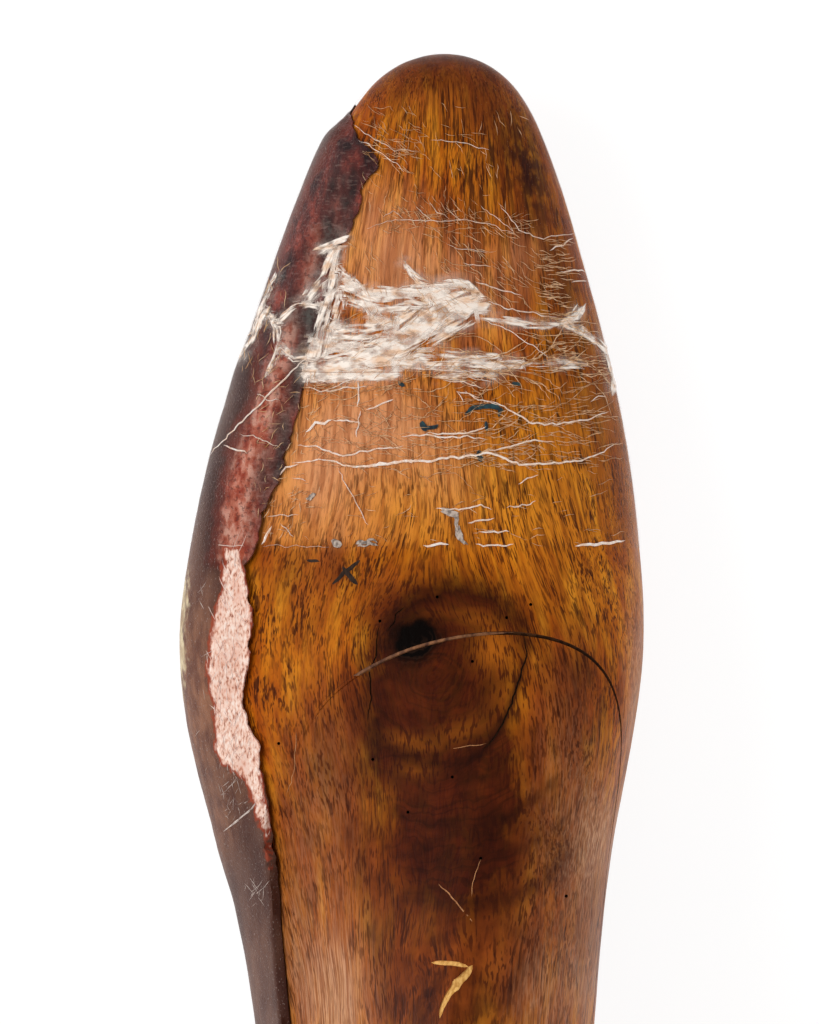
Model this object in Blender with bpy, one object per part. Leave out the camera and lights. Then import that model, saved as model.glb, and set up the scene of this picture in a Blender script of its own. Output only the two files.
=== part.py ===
"""Wooden shoe last with a sawn-out instep block, a leather fitting on its outer side and a taped toe.

Metres, +Z up. The origin is on the bench, under the middle of the heel seat. +Y runs to the toe and
+X to the inner (medial) side of a left foot. The last stands on its heel plate and its tread.
"""

from collections import namedtuple
from math import acos, cos, pi, radians, sin, sqrt, tau

import bmesh
import bpy
import numpy as np
from mathutils import Matrix, Vector

MM = 0.001

# Lengths along the last, from the middle of the heel seat
HEEL_BACK = 30 * MM
BALL_AT = 142 * MM
TOE_TIP_AT = 259.3 * MM

# Half widths of the wood and heights above the bench
HEEL_HALF = 31 * MM
BALL_MEDIAL = 44.8 * MM
BALL_LATERAL = 43.8 * MM
CONE_TOP = 88 * MM
CONE_CROWN = 22 * MM  # how far the section's ridge would rise past the flat cone top
INSTEP_HEIGHT = 64 * MM
BALL_HEIGHT = 49.5 * MM
TOE_HEIGHT = 33 * MM
WAIST_ARCH = 8 * MM
TOE_SPRING = 12.5 * MM
TIP_ASIDE = 4.8 * MM  # the toe tip lies this far to the medial side
HEEL_CURVE = 8 * MM  # the back of the heel leans forward by this at the cone top
HEEL_TUCK = 4 * MM  # and by this at the feather edge
TOE_ROUND = 7 * MM
TOE_TUCK = 3 * MM
END_BLEND = 34 * MM  # the lean of heel and toe fades out over this length

# Instep block and its saw cut
SCOOP_FRONT = 143.6 * MM
SCOOP_REAR = 20 * MM
SCOOP_DEPTH = 33 * MM  # below the line from the cut's front to its rear
SAW_KERF = 0.8 * MM

# Screw that holds the block
SCREW_AT = (3 * MM, 38 * MM)
SCREW_LENGTH = 57 * MM
SCREW_SHANK_R = 2.75 * MM
SCREW_CORE_R = 1.9 * MM
SCREW_HEAD_R = 5.2 * MM
SCREW_HEAD_DEPTH = 3.4 * MM
SCREW_THREAD = 24 * MM
SCREW_PITCH = 2.5 * MM
SCREW_TIP = 4 * MM
SCREW_POINT_R = 0.15 * MM
SCREW_RIM = 0.4 * MM
SCREW_BURIED = 1 * MM  # the hole runs this far past the screw's tip
SLOT_WIDTH = 1.3 * MM
SLOT_DEPTH = 1.6 * MM
CUP_R = 7.4 * MM
CUP_WALL = 0.9 * MM
CUP_THROAT = 1.6 * MM  # straight wall of the cup below the screw's head

# Socket for the jack's spindle
THIMBLE_AT = -3 * MM
THIMBLE_BORE_R = 6.4 * MM
THIMBLE_WALL = 1.2 * MM
THIMBLE_LENGTH = 38 * MM
THIMBLE_FLANGE_R = 9.6 * MM
THIMBLE_FLANGE = 1.2 * MM
THIMBLE_EASE = 0.4 * MM  # the tube's sharp edges are eased by this

# Cross hole for the last hook
HOOK_AT = 14 * MM
HOOK_HEIGHT = 58 * MM
HOOK_R = 4.5 * MM

# Heel plate and its nails
PLATE_THICKNESS = 2 * MM
PLATE_INSET = 5 * MM
PLATE_FRONT = 19 * MM
SEAT_CLEAR = 0.35 * MM  # the wood of the heel seat stays this far above the bench
NAIL_LENGTH = 15 * MM
NAIL_R = 1.2 * MM
NAIL_HEAD_R = 2.6 * MM
NAIL_HEAD = 1.3 * MM
NAIL_RIM = 0.3 * MM
NAIL_POINT = 3 * MM
NAIL_POINT_R = 0.3 * MM
NAIL_SUNK = 0.15 * MM
NAIL_EDGE = 6 * MM  # from a nail's axis to the plate's edge
SIDE_NAILS = 14 * MM  # from the plate's back edge to its side nails

# Leather fitting glued to the lateral side, and the piece of leather under it at the joint
FITTING_THICKNESS = 2.2 * MM
FITTING_REAR = 11 * MM
FITTING_FRONT = 249 * MM
LEATHER_EDGE = 0.35 * MM
SKIVE_TOP = 8 * MM
SKIVE_FOOT = 4 * MM
SKIVE_END = 14 * MM
FITTING_FOOT = 0.12  # lower edge, as a share of the wall from feather edge to widest line
UNDERLAY_THICKNESS = 1.5 * MM
UNDERLAY_REAR = 106 * MM
UNDERLAY_FRONT = 188 * MM
UNDERLAY_FOOT = 0.8
UNDERLAY_HEAD = 1.28
BRAD_YS = (30 * MM, 76 * MM, 118 * MM, 166 * MM)
BRAD_UP = 0.55
BRAD_LENGTH = 9 * MM
BRAD_R = 0.7 * MM
BRAD_HEAD_R = 1.5 * MM
BRAD_HEAD = 0.6 * MM
BRAD_SUNK = 0.15 * MM
BRAD_POINT = 2 * MM
BRAD_POINT_R = 0.2 * MM

# Clear tape over the toe, in bands side by side
TAPE_REAR = 160.4 * MM
TAPE_SEAMS = (178 * MM, 195.5 * MM, 224 * MM)
TAPE_THICKNESS = 0.3 * MM
TAPE_FOOT = 0.1  # lower edge, as FITTING_FOOT

# Clearances
SKIN_GAP = 0.35 * MM
FIT_GAP = 0.3 * MM
OVERCUT = 4 * MM

MIDDLE = (TOE_TIP_AT - HEEL_BACK) / 2
HALF_LENGTH = (TOE_TIP_AT + HEEL_BACK) / 2
APEX = CONE_TOP + CONE_CROWN

# A section through the last. The x values run to the medial side. The `wide` values are the heights of
# the widest line on either side, `sole` that of the middle of the sole, `feather` that of its edge and
# `ridge` that of the top line, which lies aside of the middle by `ridge_x`. The fullness of each upper
# side runs from a straight slope (0) to a square shoulder (1).
Section = namedtuple(
    "Section",
    "y medial lateral sole_medial sole_lateral wide_medial wide_lateral sole feather ridge ridge_x"
    " full_medial full_lateral",
)


def millimetres(y, *sizes):
    """A section at y whose sizes are in millimetres, but for the two fullness values at the end."""
    lengths = [size * MM for size in sizes[:10]]
    return Section(y, *lengths, *sizes[10:])


def ahead(distance):
    """A place between the ball and the toe tip, drawn for a forepart of 118 mm."""
    return BALL_AT + distance * MM * (TOE_TIP_AT - BALL_AT) / (118 * MM)


def behind(distance):
    """A place between the ball and the origin, drawn for 142 mm between them."""
    return BALL_AT - distance * MM * BALL_AT / (142 * MM)


def in_mm(size):
    return size / MM


HEEL_MM = in_mm(HEEL_HALF)
SEAT_MM = in_mm(SEAT_CLEAR)
TIP_MM = in_mm(TIP_ASIDE)
SPRING_MM = in_mm(TOE_SPRING)
TOE_MM = in_mm(TOE_HEIGHT)
ARCH_MM = in_mm(WAIST_ARCH)
APEX_MM = in_mm(APEX)
MEDIAL_MM = in_mm(BALL_MEDIAL)
LATERAL_MM = in_mm(BALL_LATERAL)
BALL_MM = in_mm(BALL_HEIGHT)
INSTEP_MM = in_mm(INSTEP_HEIGHT)

SECTIONS = (
    millimetres(-HEEL_BACK, 0, 0, 0, 0, 24, 24, SEAT_MM, SEAT_MM + 0.1, APEX_MM - 3, 0, 0.5, 0.5),
    millimetres(-HEEL_BACK * 0.67, 0.77 * HEEL_MM, -0.76 * HEEL_MM, 0.66 * HEEL_MM, -0.65 * HEEL_MM,
                25, 25, SEAT_MM, SEAT_MM + 0.1, APEX_MM - 2, 0, 0.48, 0.48),
    millimetres(2 * MM, HEEL_MM, -HEEL_MM, 27, -26.5, 26, 26, SEAT_MM, SEAT_MM + 0.1, APEX_MM, 0.5,
                0.38, 0.36),
    millimetres(behind(107), 32.5, -29.5, 24.5, -25, 28, 22, 0.36 * ARCH_MM, 5, APEX_MM - 6, 3, 0.45, 0.24),
    millimetres(behind(77), 34.8, -30.4, 23.5, -26.5, 28, 18, ARCH_MM, 10, 83, 6, 0.56, 0.14),
    millimetres(behind(42), 38.4, -37.2, 28, -33, 24, 17, 0.92 * ARCH_MM, 9, INSTEP_MM, 12, 0.6, 0.2),
    millimetres(BALL_AT, MEDIAL_MM, -LATERAL_MM, 40.5, -40, 19.5, 17, 1.2, 3.2, BALL_MM, 17, 0.64, 0.4),
    millimetres(ahead(18), 44, -41.8, 41, -38.6, 18, 16.5, 0, 2, 45.4, 15, 0.6, 0.46),
    millimetres(ahead(38), 41.6, -38.1, 38.6, -35.2, 17.5, 16.5, 0.8, 2.6, 42, 13, 0.57, 0.5),
    millimetres(ahead(73), 33.5, -27.7, 30.6, -24.9, 17.5, 17, 4.4, 6, TOE_MM + 4, 8, 0.55, 0.53),
    millimetres(ahead(104), 23.3, -15, 20.6, -12.4, 19.5, 19.5, 9.5, 10.8, TOE_MM, 5.6, 0.55, 0.55),
    millimetres(ahead(114), 16.2, -6.9, 14, -4.6, 21, 21, SPRING_MM - 1, SPRING_MM, TOE_MM - 1, 5, 0.55, 0.55),
    millimetres(TOE_TIP_AT, *[TIP_MM] * 4, 21.5, 21.5, SPRING_MM, SPRING_MM + 1, TOE_MM - 1.5, TIP_MM,
                0.55, 0.55),
)

# The fitting's upper edge seen from above: along the last, and aside to the lateral side
FITTING_EDGE = (
    (11, 27.5), (38, 27.2), (65, 26.2), (98, 29.6), (114, 31.4), (130, 32.4), (150, 35.2), (161, 31.6),
    (178, 26.8), (190, 23.4), (204, 19.8), (218, 17.2), (230, 14.4), (240, 9.6), (249, 12.4),
)


def run_of(y):
    """How far along the last y is, as an angle from 0 at the heel's back to pi at the toe tip."""
    return acos(max(-1.0, min(1.0, (MIDDLE - y) / HALF_LENGTH)))


def place_of(run):
    return MIDDLE - HALF_LENGTH * cos(run)


def smooth(x):
    x = max(0.0, min(1.0, x))
    return x * x * (3 - 2 * x)


class Line:
    """A cubic spline through points. Its ends are flat or, where it crosses the axis there, straight."""

    def __init__(self, at, values, flat_ends):
        self.at = np.array(at, float)
        self.values = np.array(values, float)
        step = np.diff(self.at)
        rise = np.diff(self.values) / step
        count = len(at)
        rows = np.zeros((count, count))
        right = np.zeros(count)
        for i in range(1, count - 1):
            rows[i, i - 1 : i + 2] = step[i - 1], 2 * (step[i - 1] + step[i]), step[i]
            right[i] = 6 * (rise[i] - rise[i - 1])
        rows[0, 0] = rows[-1, -1] = 1
        if flat_ends:
            rows[0, :2] = 2 * step[0], step[0]
            rows[-1, -2:] = step[-1], 2 * step[-1]
            right[0], right[-1] = 6 * rise[0], -6 * rise[-1]
        self.bend = np.linalg.solve(rows, right)

    def __call__(self, t):
        i = int(np.clip(np.searchsorted(self.at, t) - 1, 0, len(self.at) - 2))
        step = self.at[i + 1] - self.at[i]
        a, b = (self.at[i + 1] - t) / step, (t - self.at[i]) / step
        curve = (a**3 - a) * self.bend[i] + (b**3 - b) * self.bend[i + 1]
        return a * self.values[i] + b * self.values[i + 1] + curve * step * step / 6


RUNS = [run_of(section.y) for section in SECTIONS]
FLAT = {"wide_medial", "wide_lateral", "sole", "feather", "ridge", "full_medial", "full_lateral"}
LINES = {
    field: Line(RUNS, [getattr(section, field) for section in SECTIONS], field in FLAT)
    for field in Section._fields[1:]
}
EDGE_LINE = Line([y * MM for y, _ in FITTING_EDGE], [-x * MM for _, x in FITTING_EDGE], False)


def bezier(a, b, c, d, t):
    u = 1 - t
    return a * u**3 + 3 * b * u * u * t + 3 * c * u * t * t + d * t**3


def section_point(run, side, v):
    """x and z on a section. v runs from the sole's middle (-1) over the feather edge (0) and the widest
    line (1) to the ridge (2)."""
    name = "medial" if side > 0 else "lateral"
    wide_x, wide_z = LINES[name](run), LINES["wide_" + name](run)
    edge_x, edge_z = LINES["sole_" + name](run), LINES["feather"](run)
    if v <= 0:
        middle = (LINES["sole_medial"](run) + LINES["sole_lateral"](run)) / 2
        sole = LINES["sole"](run)
        return middle + (edge_x - middle) * (1 + v), sole + (edge_z - sole) * (1 + v) ** 2
    if v <= 1:
        rise = wide_z - edge_z
        x = bezier(edge_x, edge_x + 0.6 * (wide_x - edge_x), wide_x, wide_x, v)
        return x, bezier(edge_z, edge_z + 0.25 * rise, wide_z - 0.45 * rise, wide_z, v)
    full = LINES["full_" + name](run)
    ridge_x, ridge_z = LINES["ridge_x"](run), LINES["ridge"](run)
    x = bezier(wide_x, wide_x, ridge_x + full * (wide_x - ridge_x), ridge_x, v - 1)
    return x, bezier(wide_z, wide_z + full * (ridge_z - wide_z), ridge_z, ridge_z, v - 1)


def wood(run, side, v):
    """A point of the carved surface, with the heel's back and the toe curved in side view."""
    x, z = section_point(run, side, v)
    y = place_of(run)
    wide, ridge, feather = (LINES[name](run) for name in ("wide_medial", "ridge", "feather"))
    below = max(0.0, (wide - z) / (wide - feather)) ** 2
    heel = smooth((END_BLEND - HEEL_BACK - y) / END_BLEND)
    up = max(0.0, (z - wide) / (CONE_TOP - wide))
    y += heel * (HEEL_CURVE * up * up + HEEL_TUCK * below)
    toe = smooth((y - TOE_TIP_AT + END_BLEND) / END_BLEND)
    up = max(0.0, min(1.0, (z - wide) / (ridge - wide)))
    y -= toe * (TOE_ROUND * (1 - sqrt(1 - up * up)) + TOE_TUCK * below)
    return Vector((x, y, z))


def outward(run, side, v):
    """The unit normal of the wood's surface, which has no sideways part on the seam at either end."""
    h, k = 0.004, 0.01
    along = wood(min(pi, run + h), side, v) - wood(max(0.0, run - h), side, v)
    across = wood(run, side, min(2.0, v + k)) - wood(run, side, max(0.0, v - k))
    normal = along.cross(across) * side
    if run > pi - h or run < h:
        normal.x = 0
    return normal.normalized()


def lifted(run, w, height):
    """A point over the wood, at a place w round it: from the middle of the sole (-1) over the lateral
    feather edge (0), the ridge (2) and the medial feather edge (4) back to the sole (5)."""
    side, v = (-1, w) if w <= 2 else (1, 4 - w)
    return wood(run, side, v) + outward(run, side, v) * height


def fitting_top(run):
    """v of the fitting's upper edge, found from how far aside it lies."""
    aside = EDGE_LINE(place_of(run))
    low, high = 1.0, 2.0
    for _ in range(30):
        middle = (low + high) / 2
        if section_point(run, -1, middle)[0] < aside:
            low = middle
        else:
            high = middle
    return (low + high) / 2


def gap_between(run, v_a, v_b):
    return (wood(run, -1, v_a) - wood(run, -1, v_b)).length


def underlay_at(run, v):
    """Thickness of the underlay at a place, and how much of the fitting's bulge over it is there."""
    y = place_of(run)
    along = (2 * y - UNDERLAY_REAR - UNDERLAY_FRONT) / (UNDERLAY_FRONT - UNDERLAY_REAR)
    up = (2 * v - UNDERLAY_FOOT - UNDERLAY_HEAD) / (UNDERLAY_HEAD - UNDERLAY_FOOT)
    crown = max(0.0, 1 - along * along) * max(0.0, 1 - up * up)
    thickness = LEATHER_EDGE + (UNDERLAY_THICKNESS - LEATHER_EDGE) * crown
    past = max(abs(along) - 1, (abs(up) - 1) * 0.6, 0.0)
    return thickness, 1 - smooth((past - 0.12) / 0.3)


def fitting_foot(run, v):
    """Height of the fitting's inner face over the wood."""
    thickness, share = underlay_at(run, v)
    return SKIN_GAP + (thickness + SKIN_GAP) * share


def fitting_thickness(run, v, top):
    y = place_of(run)
    trimmed = smooth((SCOOP_FRONT - 30 * MM - y) / (12 * MM)) if y > 0 else 1
    skive = SKIVE_TOP * (1 - trimmed) + LEATHER_EDGE * trimmed
    shares = (
        gap_between(run, v, top) / skive + 0.75 * trimmed,
        gap_between(run, v, FITTING_FOOT) / SKIVE_FOOT,
        (FITTING_FRONT - y) / SKIVE_END,
        (y - FITTING_REAR) / SKIVE_END,
    )
    return LEATHER_EDGE + (FITTING_THICKNESS - LEATHER_EDGE) * smooth(min(shares))


def cover(run, w):
    """Height over the wood of what lies under the tape."""
    if w >= 2:
        return 0.0
    y = place_of(run)
    top = fitting_top(run)
    past_end = smooth((y - FITTING_FRONT) / (4 * MM))
    if w <= top:
        return (fitting_foot(run, w) + fitting_thickness(run, w, top)) * (1 - past_end)
    edge = fitting_foot(run, top) + fitting_thickness(run, top, top)
    return edge * (1 - smooth((gap_between(run, w, top) - 0.5 * MM) / (4 * MM))) * (1 - past_end)


def material(name, colour, roughness, metallic=0.0):
    made = bpy.data.materials.new(name)
    made.use_nodes = True
    shader = made.node_tree.nodes["Principled BSDF"]
    shader.inputs["Base Color"].default_value = (*colour, 1)
    shader.inputs["Roughness"].default_value = roughness
    shader.inputs["Metallic"].default_value = metallic
    return made


def placed(name, mesh_bm, finish, smooth_angle=35):
    """An object from a bmesh, with its faces turned outwards and round parts shaded smooth."""
    bmesh.ops.recalc_face_normals(mesh_bm, faces=mesh_bm.faces)
    mesh = bpy.data.meshes.new(name)
    mesh_bm.to_mesh(mesh)
    mesh_bm.free()
    mesh.shade_smooth()
    mesh.set_sharp_from_angle(angle=radians(smooth_angle))
    made = bpy.data.objects.new(name, mesh)
    bpy.context.scene.collection.objects.link(made)
    if finish is not None:
        mesh.materials.append(finish)
    return made


def cutter(name, mesh_bm):
    made = placed(name, mesh_bm, None)
    made.hide_render = True
    made.display_type = "WIRE"
    return made


def boolean(target, tool, operation="DIFFERENCE"):
    step = target.modifiers.new(f"{operation.lower()} {tool.name}", "BOOLEAN")
    step.operation = operation
    step.object = tool


def merge(mesh_bm, within=1e-7):
    bmesh.ops.remove_doubles(mesh_bm, verts=mesh_bm.verts, dist=within)


def steps(low, high, count):
    return [low + (high - low) * i / count for i in range(count + 1)]


def wrapped_grid(mesh_bm, along, across, point_at):
    """Adds a grid and moves its vertices to point_at(run, w), for the runs and the places across given."""
    grid = bmesh.ops.create_grid(
        mesh_bm, x_segments=len(along) - 1, y_segments=len(across) - 1, size=1
    )["verts"]
    for vert in grid:
        i = round((vert.co.x + 1) / 2 * (len(along) - 1))
        j = round((vert.co.y + 1) / 2 * (len(across) - 1))
        vert.co = point_at(along[i], across[j])
    return grid


def carved_form():
    """The whole last before the saw cut: a grid wrapped round it from the sole's middle, on the lateral
    side, over the ridge and back, closed at heel, toe and sole, and cut flat at the cone top."""
    sole, wall, upper = steps(-1, 0, 4), steps(0, 1, 4)[1:], steps(1, 2, 11)[1:]
    half = sole + wall + upper
    around = half + [4 - w for w in half[-2::-1]]
    made = bmesh.new()
    wrapped_grid(made, steps(0, pi, 60), around, lambda run, w: lifted(run, w, 0))
    merge(made, 1e-6)
    everything = made.verts[:] + made.edges[:] + made.faces[:]
    bmesh.ops.bisect_plane(
        made, geom=everything, plane_co=(0, 0, CONE_TOP), plane_no=(0, 0, 1), clear_outer=True
    )
    bmesh.ops.holes_fill(made, edges=[edge for edge in made.edges if edge.is_boundary])
    return made


def skin(along, across, inner, outer):
    """A closed skin of two wrapped grids joined round their edges. inner and outer give its heights over
    the wood."""
    made = bmesh.new()
    for height in (inner, outer):
        wrapped_grid(made, along, across, lambda run, w: lifted(run, w, height(run, w)))
    merge(made, 1e-6)
    bmesh.ops.bridge_loops(made, edges=[edge for edge in made.edges if edge.is_boundary])
    return made


def bridged(rings):
    """A closed solid through rings of as many points each, capped at both ends."""
    made = bmesh.new()
    below = []
    for ring in rings:
        circle = bmesh.ops.create_circle(made, segments=len(ring), radius=1)["verts"]
        for vert, point in zip(circle, ring):
            vert.co = point
        edges = list({edge for vert in circle for edge in vert.link_edges})
        if below:
            bmesh.ops.bridge_loops(made, edges=below + edges)
        below = edges
    bmesh.ops.holes_fill(made, edges=[edge for edge in made.edges if edge.is_boundary])
    return made


def cross_cylinder(y, z, radius, length, segments):
    """A cylinder across the last, along X."""
    made = bmesh.new()
    bmesh.ops.create_cone(
        made, cap_ends=True, segments=segments, radius1=radius, radius2=radius, depth=length,
        matrix=Matrix.Translation((0, y, z)) @ Matrix.Rotation(pi / 2, 4, "Y"),
    )
    return made


def turned(profile, segments=24):
    """A solid of revolution about Z from (radius, height) points that start and end on the axis, or
    that close on themselves."""
    made = bmesh.new()
    closed = profile[0][0] > 0
    verts = [made.verts.new((radius, 0, height)) for radius, height in profile]
    for first, second in zip(verts, verts[1:]):
        made.edges.new((first, second))
    if closed:
        made.edges.new((verts[-1], verts[0]))
    bmesh.ops.spin(
        made, geom=made.verts[:] + made.edges[:], cent=(0, 0, 0), axis=(0, 0, 1), angle=tau,
        steps=segments, use_merge=True,
    )
    merge(made)
    return made


def scoop():
    """Centre (y, z) and radius of the saw cut's arc in side view."""
    front = Vector((SCOOP_FRONT, LINES["ridge"](run_of(SCOOP_FRONT))))
    rear = Vector((SCOOP_REAR, CONE_TOP))
    chord = front - rear
    radius = (chord.length**2 / 4 + SCOOP_DEPTH**2) / (2 * SCOOP_DEPTH)
    up = Vector((-chord.y, chord.x)).normalized()
    return (front + rear) / 2 + up * (radius - SCOOP_DEPTH), radius


def scoop_cutter(name, shift):
    centre, radius = scoop()
    width = 2 * (BALL_MEDIAL + BALL_LATERAL)
    return cutter(name, cross_cylinder(centre.x, centre.y, radius + shift, width, 128))


def plate_outline(inset):
    """Points of the heel plate's edge, clockwise from its front on the medial side."""
    front = PLATE_FRONT + (PLATE_INSET - inset)
    points = []
    for side in (1, -1):
        rim = [wood(run, side, 0) for run in steps(0, run_of(front), 10)]
        centre = Vector((0, 0, 0))
        moved = [p - (p - centre).normalized() * inset for p in rim[:-1]]
        last = rim[-1]
        moved.append(Vector((last.x - side * inset, front, 0)))
        points.append(moved)
    return points[0][::-1] + points[1][1:]


def plate(bottom, top, inset):
    made = bmesh.new()
    verts = [made.verts.new((p.x, p.y, bottom)) for p in plate_outline(inset)]
    face = made.faces.new(verts)
    grown = bmesh.ops.extrude_face_region(made, geom=[face])["geom"]
    bmesh.ops.translate(
        made, vec=(0, 0, top - bottom), verts=[v for v in grown if isinstance(v, bmesh.types.BMVert)]
    )
    return made


def nail_places():
    """Two nails at the plate's front, two at its sides and one at its back."""
    outline = plate_outline(PLATE_INSET)
    medial, lateral = max(p.x for p in outline), min(p.x for p in outline)
    back, front = min(p.y for p in outline), max(p.y for p in outline)
    waist = back + SIDE_NAILS
    return (
        (medial - NAIL_EDGE, front - NAIL_EDGE),
        (lateral + NAIL_EDGE, front - NAIL_EDGE),
        (medial - NAIL_EDGE, waist),
        (lateral + NAIL_EDGE, waist),
        (0, back + NAIL_EDGE),
    )


def nail_profile(gap):
    """A countersunk nail standing head down on the plate's underside, grown by gap for its hole."""
    head, shank, point = NAIL_HEAD_R + gap, NAIL_R + gap, NAIL_POINT_R + gap
    bottom = NAIL_SUNK if gap == 0 else -OVERCUT
    return [
        (0, bottom), (head, bottom), (head, NAIL_SUNK + NAIL_RIM + gap / 2),
        (shank, NAIL_HEAD + NAIL_SUNK + gap), (shank, NAIL_LENGTH - NAIL_POINT),
        (point, NAIL_LENGTH + gap), (0, NAIL_LENGTH + gap),
    ]


def make_heel_plate(finishes):
    """The steel plate let into the heel seat, with its five nails."""
    steel = placed("heel_plate", plate(0, PLATE_THICKNESS, PLATE_INSET), finishes["steel"])
    for number, (x, y) in enumerate(nail_places(), 1):
        nail = placed(f"heel_plate_nail_{number}", turned(nail_profile(0), 16), finishes["iron"])
        nail.location = (x, y, 0)
        hole = cutter(f"heel_plate_hole_{number}", turned(nail_profile(FIT_GAP), 16))
        hole.location = (x, y, 0)
        boolean(steel, hole)
    recess = plate(-OVERCUT, PLATE_THICKNESS + FIT_GAP, PLATE_INSET - FIT_GAP)
    return cutter("heel_plate_recess", recess)


def make_thimble(finishes):
    """The flanged steel tube in the cone top that the jack's spindle goes into."""
    outer, bore = THIMBLE_BORE_R + THIMBLE_WALL, THIMBLE_BORE_R
    bottom = CONE_TOP - THIMBLE_LENGTH
    tube = turned([
        (bore, bottom), (outer, bottom), (outer, CONE_TOP - THIMBLE_FLANGE),
        (THIMBLE_FLANGE_R, CONE_TOP - THIMBLE_FLANGE), (THIMBLE_FLANGE_R, CONE_TOP - THIMBLE_EASE),
        (THIMBLE_FLANGE_R - THIMBLE_EASE, CONE_TOP), (bore + THIMBLE_EASE, CONE_TOP),
        (bore, CONE_TOP - THIMBLE_EASE),
    ], 40)
    thimble = placed("jack_thimble", tube, finishes["steel"])
    thimble.location = (0, THIMBLE_AT, 0)
    seat = turned([
        (0, bottom - FIT_GAP), (outer + FIT_GAP, bottom - FIT_GAP),
        (outer + FIT_GAP, CONE_TOP - THIMBLE_FLANGE - FIT_GAP),
        (THIMBLE_FLANGE_R + FIT_GAP, CONE_TOP - THIMBLE_FLANGE - FIT_GAP),
        (THIMBLE_FLANGE_R + FIT_GAP, CONE_TOP + OVERCUT), (0, CONE_TOP + OVERCUT),
    ], 40)
    seat_cut = cutter("thimble_seat", seat)
    seat_cut.location = (0, THIMBLE_AT, 0)
    return seat_cut


def thread_radius(z, angle):
    """Radius of the screw's threaded end: a wood-screw thread that fades in below the shank."""
    low = CONE_TOP - SCREW_LENGTH
    phase = ((low - z) / SCREW_PITCH + angle / tau) % 1
    crest = max(0.0, 1 - abs(phase - 0.5) / 0.32)
    taper = smooth((z - low) / SCREW_TIP)
    fade = 1 - smooth((z - low - SCREW_THREAD + 2 * SCREW_PITCH) / (2 * SCREW_PITCH))
    depth = SCREW_SHANK_R - SCREW_CORE_R
    core = SCREW_CORE_R + depth * smooth((z - low - SCREW_THREAD + SCREW_PITCH) / SCREW_PITCH)
    return SCREW_POINT_R + (core + depth * crest * fade - SCREW_POINT_R) * taper


def make_screw(finishes):
    """The slotted countersunk screw that holds the block, in its brass cup."""
    low = CONE_TOP - SCREW_LENGTH
    threaded = steps(low, low + SCREW_THREAD + SCREW_PITCH, 54)
    angles = [tau * i / 14 for i in range(14)]
    rings = [
        [Vector((thread_radius(z, a) * cos(a), thread_radius(z, a) * sin(a), z)) for a in angles]
        for z in threaded
    ]
    head_foot = CONE_TOP - SCREW_HEAD_DEPTH
    rim = CONE_TOP - SCREW_RIM
    for radius, z in ((SCREW_SHANK_R, head_foot), (SCREW_HEAD_R, rim), (SCREW_HEAD_R * 0.93, CONE_TOP)):
        rings.append([Vector((radius * cos(a), radius * sin(a), z)) for a in angles])
    screw = placed("block_screw", bridged(rings), finishes["iron"])
    screw.location = (*SCREW_AT, 0)
    slot = bmesh.new()
    bmesh.ops.create_cube(slot, size=1)
    bmesh.ops.scale(slot, vec=(3 * SCREW_HEAD_R, SLOT_WIDTH, 2 * SLOT_DEPTH), verts=slot.verts)
    slot_cut = cutter("screw_slot", slot)
    slot_cut.location = (*SCREW_AT, CONE_TOP)
    slot_cut.rotation_euler.z = radians(28)
    boolean(screw, slot_cut)

    throat = head_foot - CUP_THROAT
    mouth, neck = SCREW_HEAD_R + FIT_GAP, SCREW_SHANK_R + FIT_GAP
    lip, lip_foot = CONE_TOP - 0.3 * CUP_WALL, CONE_TOP - CUP_WALL
    cup = turned([
        (neck, throat), (neck + CUP_WALL, throat), (neck + CUP_WALL, head_foot - CUP_WALL),
        (mouth + CUP_WALL, lip_foot - SCREW_RIM), (CUP_R, lip_foot), (CUP_R, lip),
        (CUP_R - SCREW_RIM, CONE_TOP), (mouth, CONE_TOP), (mouth, rim - FIT_GAP),
        (neck, head_foot - FIT_GAP),
    ], 32)
    placed("screw_cup", cup, finishes["brass"]).location = (*SCREW_AT, 0)

    bottom, wall = low - SCREW_BURIED, CUP_WALL + FIT_GAP
    hole = turned([
        (0, bottom), (neck, bottom), (neck, throat - FIT_GAP), (neck + wall, throat - FIT_GAP),
        (neck + wall, head_foot - CUP_WALL - FIT_GAP / 2),
        (mouth + wall, lip_foot - SCREW_RIM - FIT_GAP / 2), (CUP_R + FIT_GAP, lip_foot - FIT_GAP),
        (CUP_R + FIT_GAP, CONE_TOP + OVERCUT), (0, CONE_TOP + OVERCUT),
    ], 24)
    hole_cut = cutter("screw_hole", hole)
    hole_cut.location = (*SCREW_AT, 0)
    return hole_cut


def fitting_w(run, share):
    """The place across the wood of a share of the fitting's height, from its foot (0) to its top (1)."""
    return FITTING_FOOT + (fitting_top(run) - FITTING_FOOT) * share


def make_fitting(finishes):
    """The leather that builds up the lateral side, skived thin at its edges."""
    along = steps(run_of(FITTING_REAR), run_of(FITTING_FRONT), 64)
    shares = [0, 0.05, 0.1, 0.18, 0.27, 0.36, 0.45, 0.54, 0.63, 0.71, 0.79, 0.86, 0.91, 0.96, 1]

    def inner(run, w):
        return fitting_foot(run, w)

    def outer(run, w):
        return fitting_foot(run, w) + fitting_thickness(run, w, fitting_top(run))

    made = bmesh.new()
    for height in (inner, outer):
        wrapped_grid(
            made, along, shares,
            lambda run, share: lifted(run, fitting_w(run, share), height(run, fitting_w(run, share))),
        )
    bmesh.ops.bridge_loops(made, edges=[edge for edge in made.edges if edge.is_boundary])
    return placed("side_fitting", made, finishes["leather"])


def make_underlay(finishes):
    """The smaller piece of leather under the fitting, which raises the joint."""
    made = skin(
        steps(run_of(UNDERLAY_REAR), run_of(UNDERLAY_FRONT), 14),
        steps(UNDERLAY_FOOT, UNDERLAY_HEAD, 8),
        lambda run, w: SKIN_GAP,
        lambda run, w: SKIN_GAP + underlay_at(run, w)[0],
    )
    return placed("joint_underlay", made, finishes["leather_flesh"])


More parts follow.
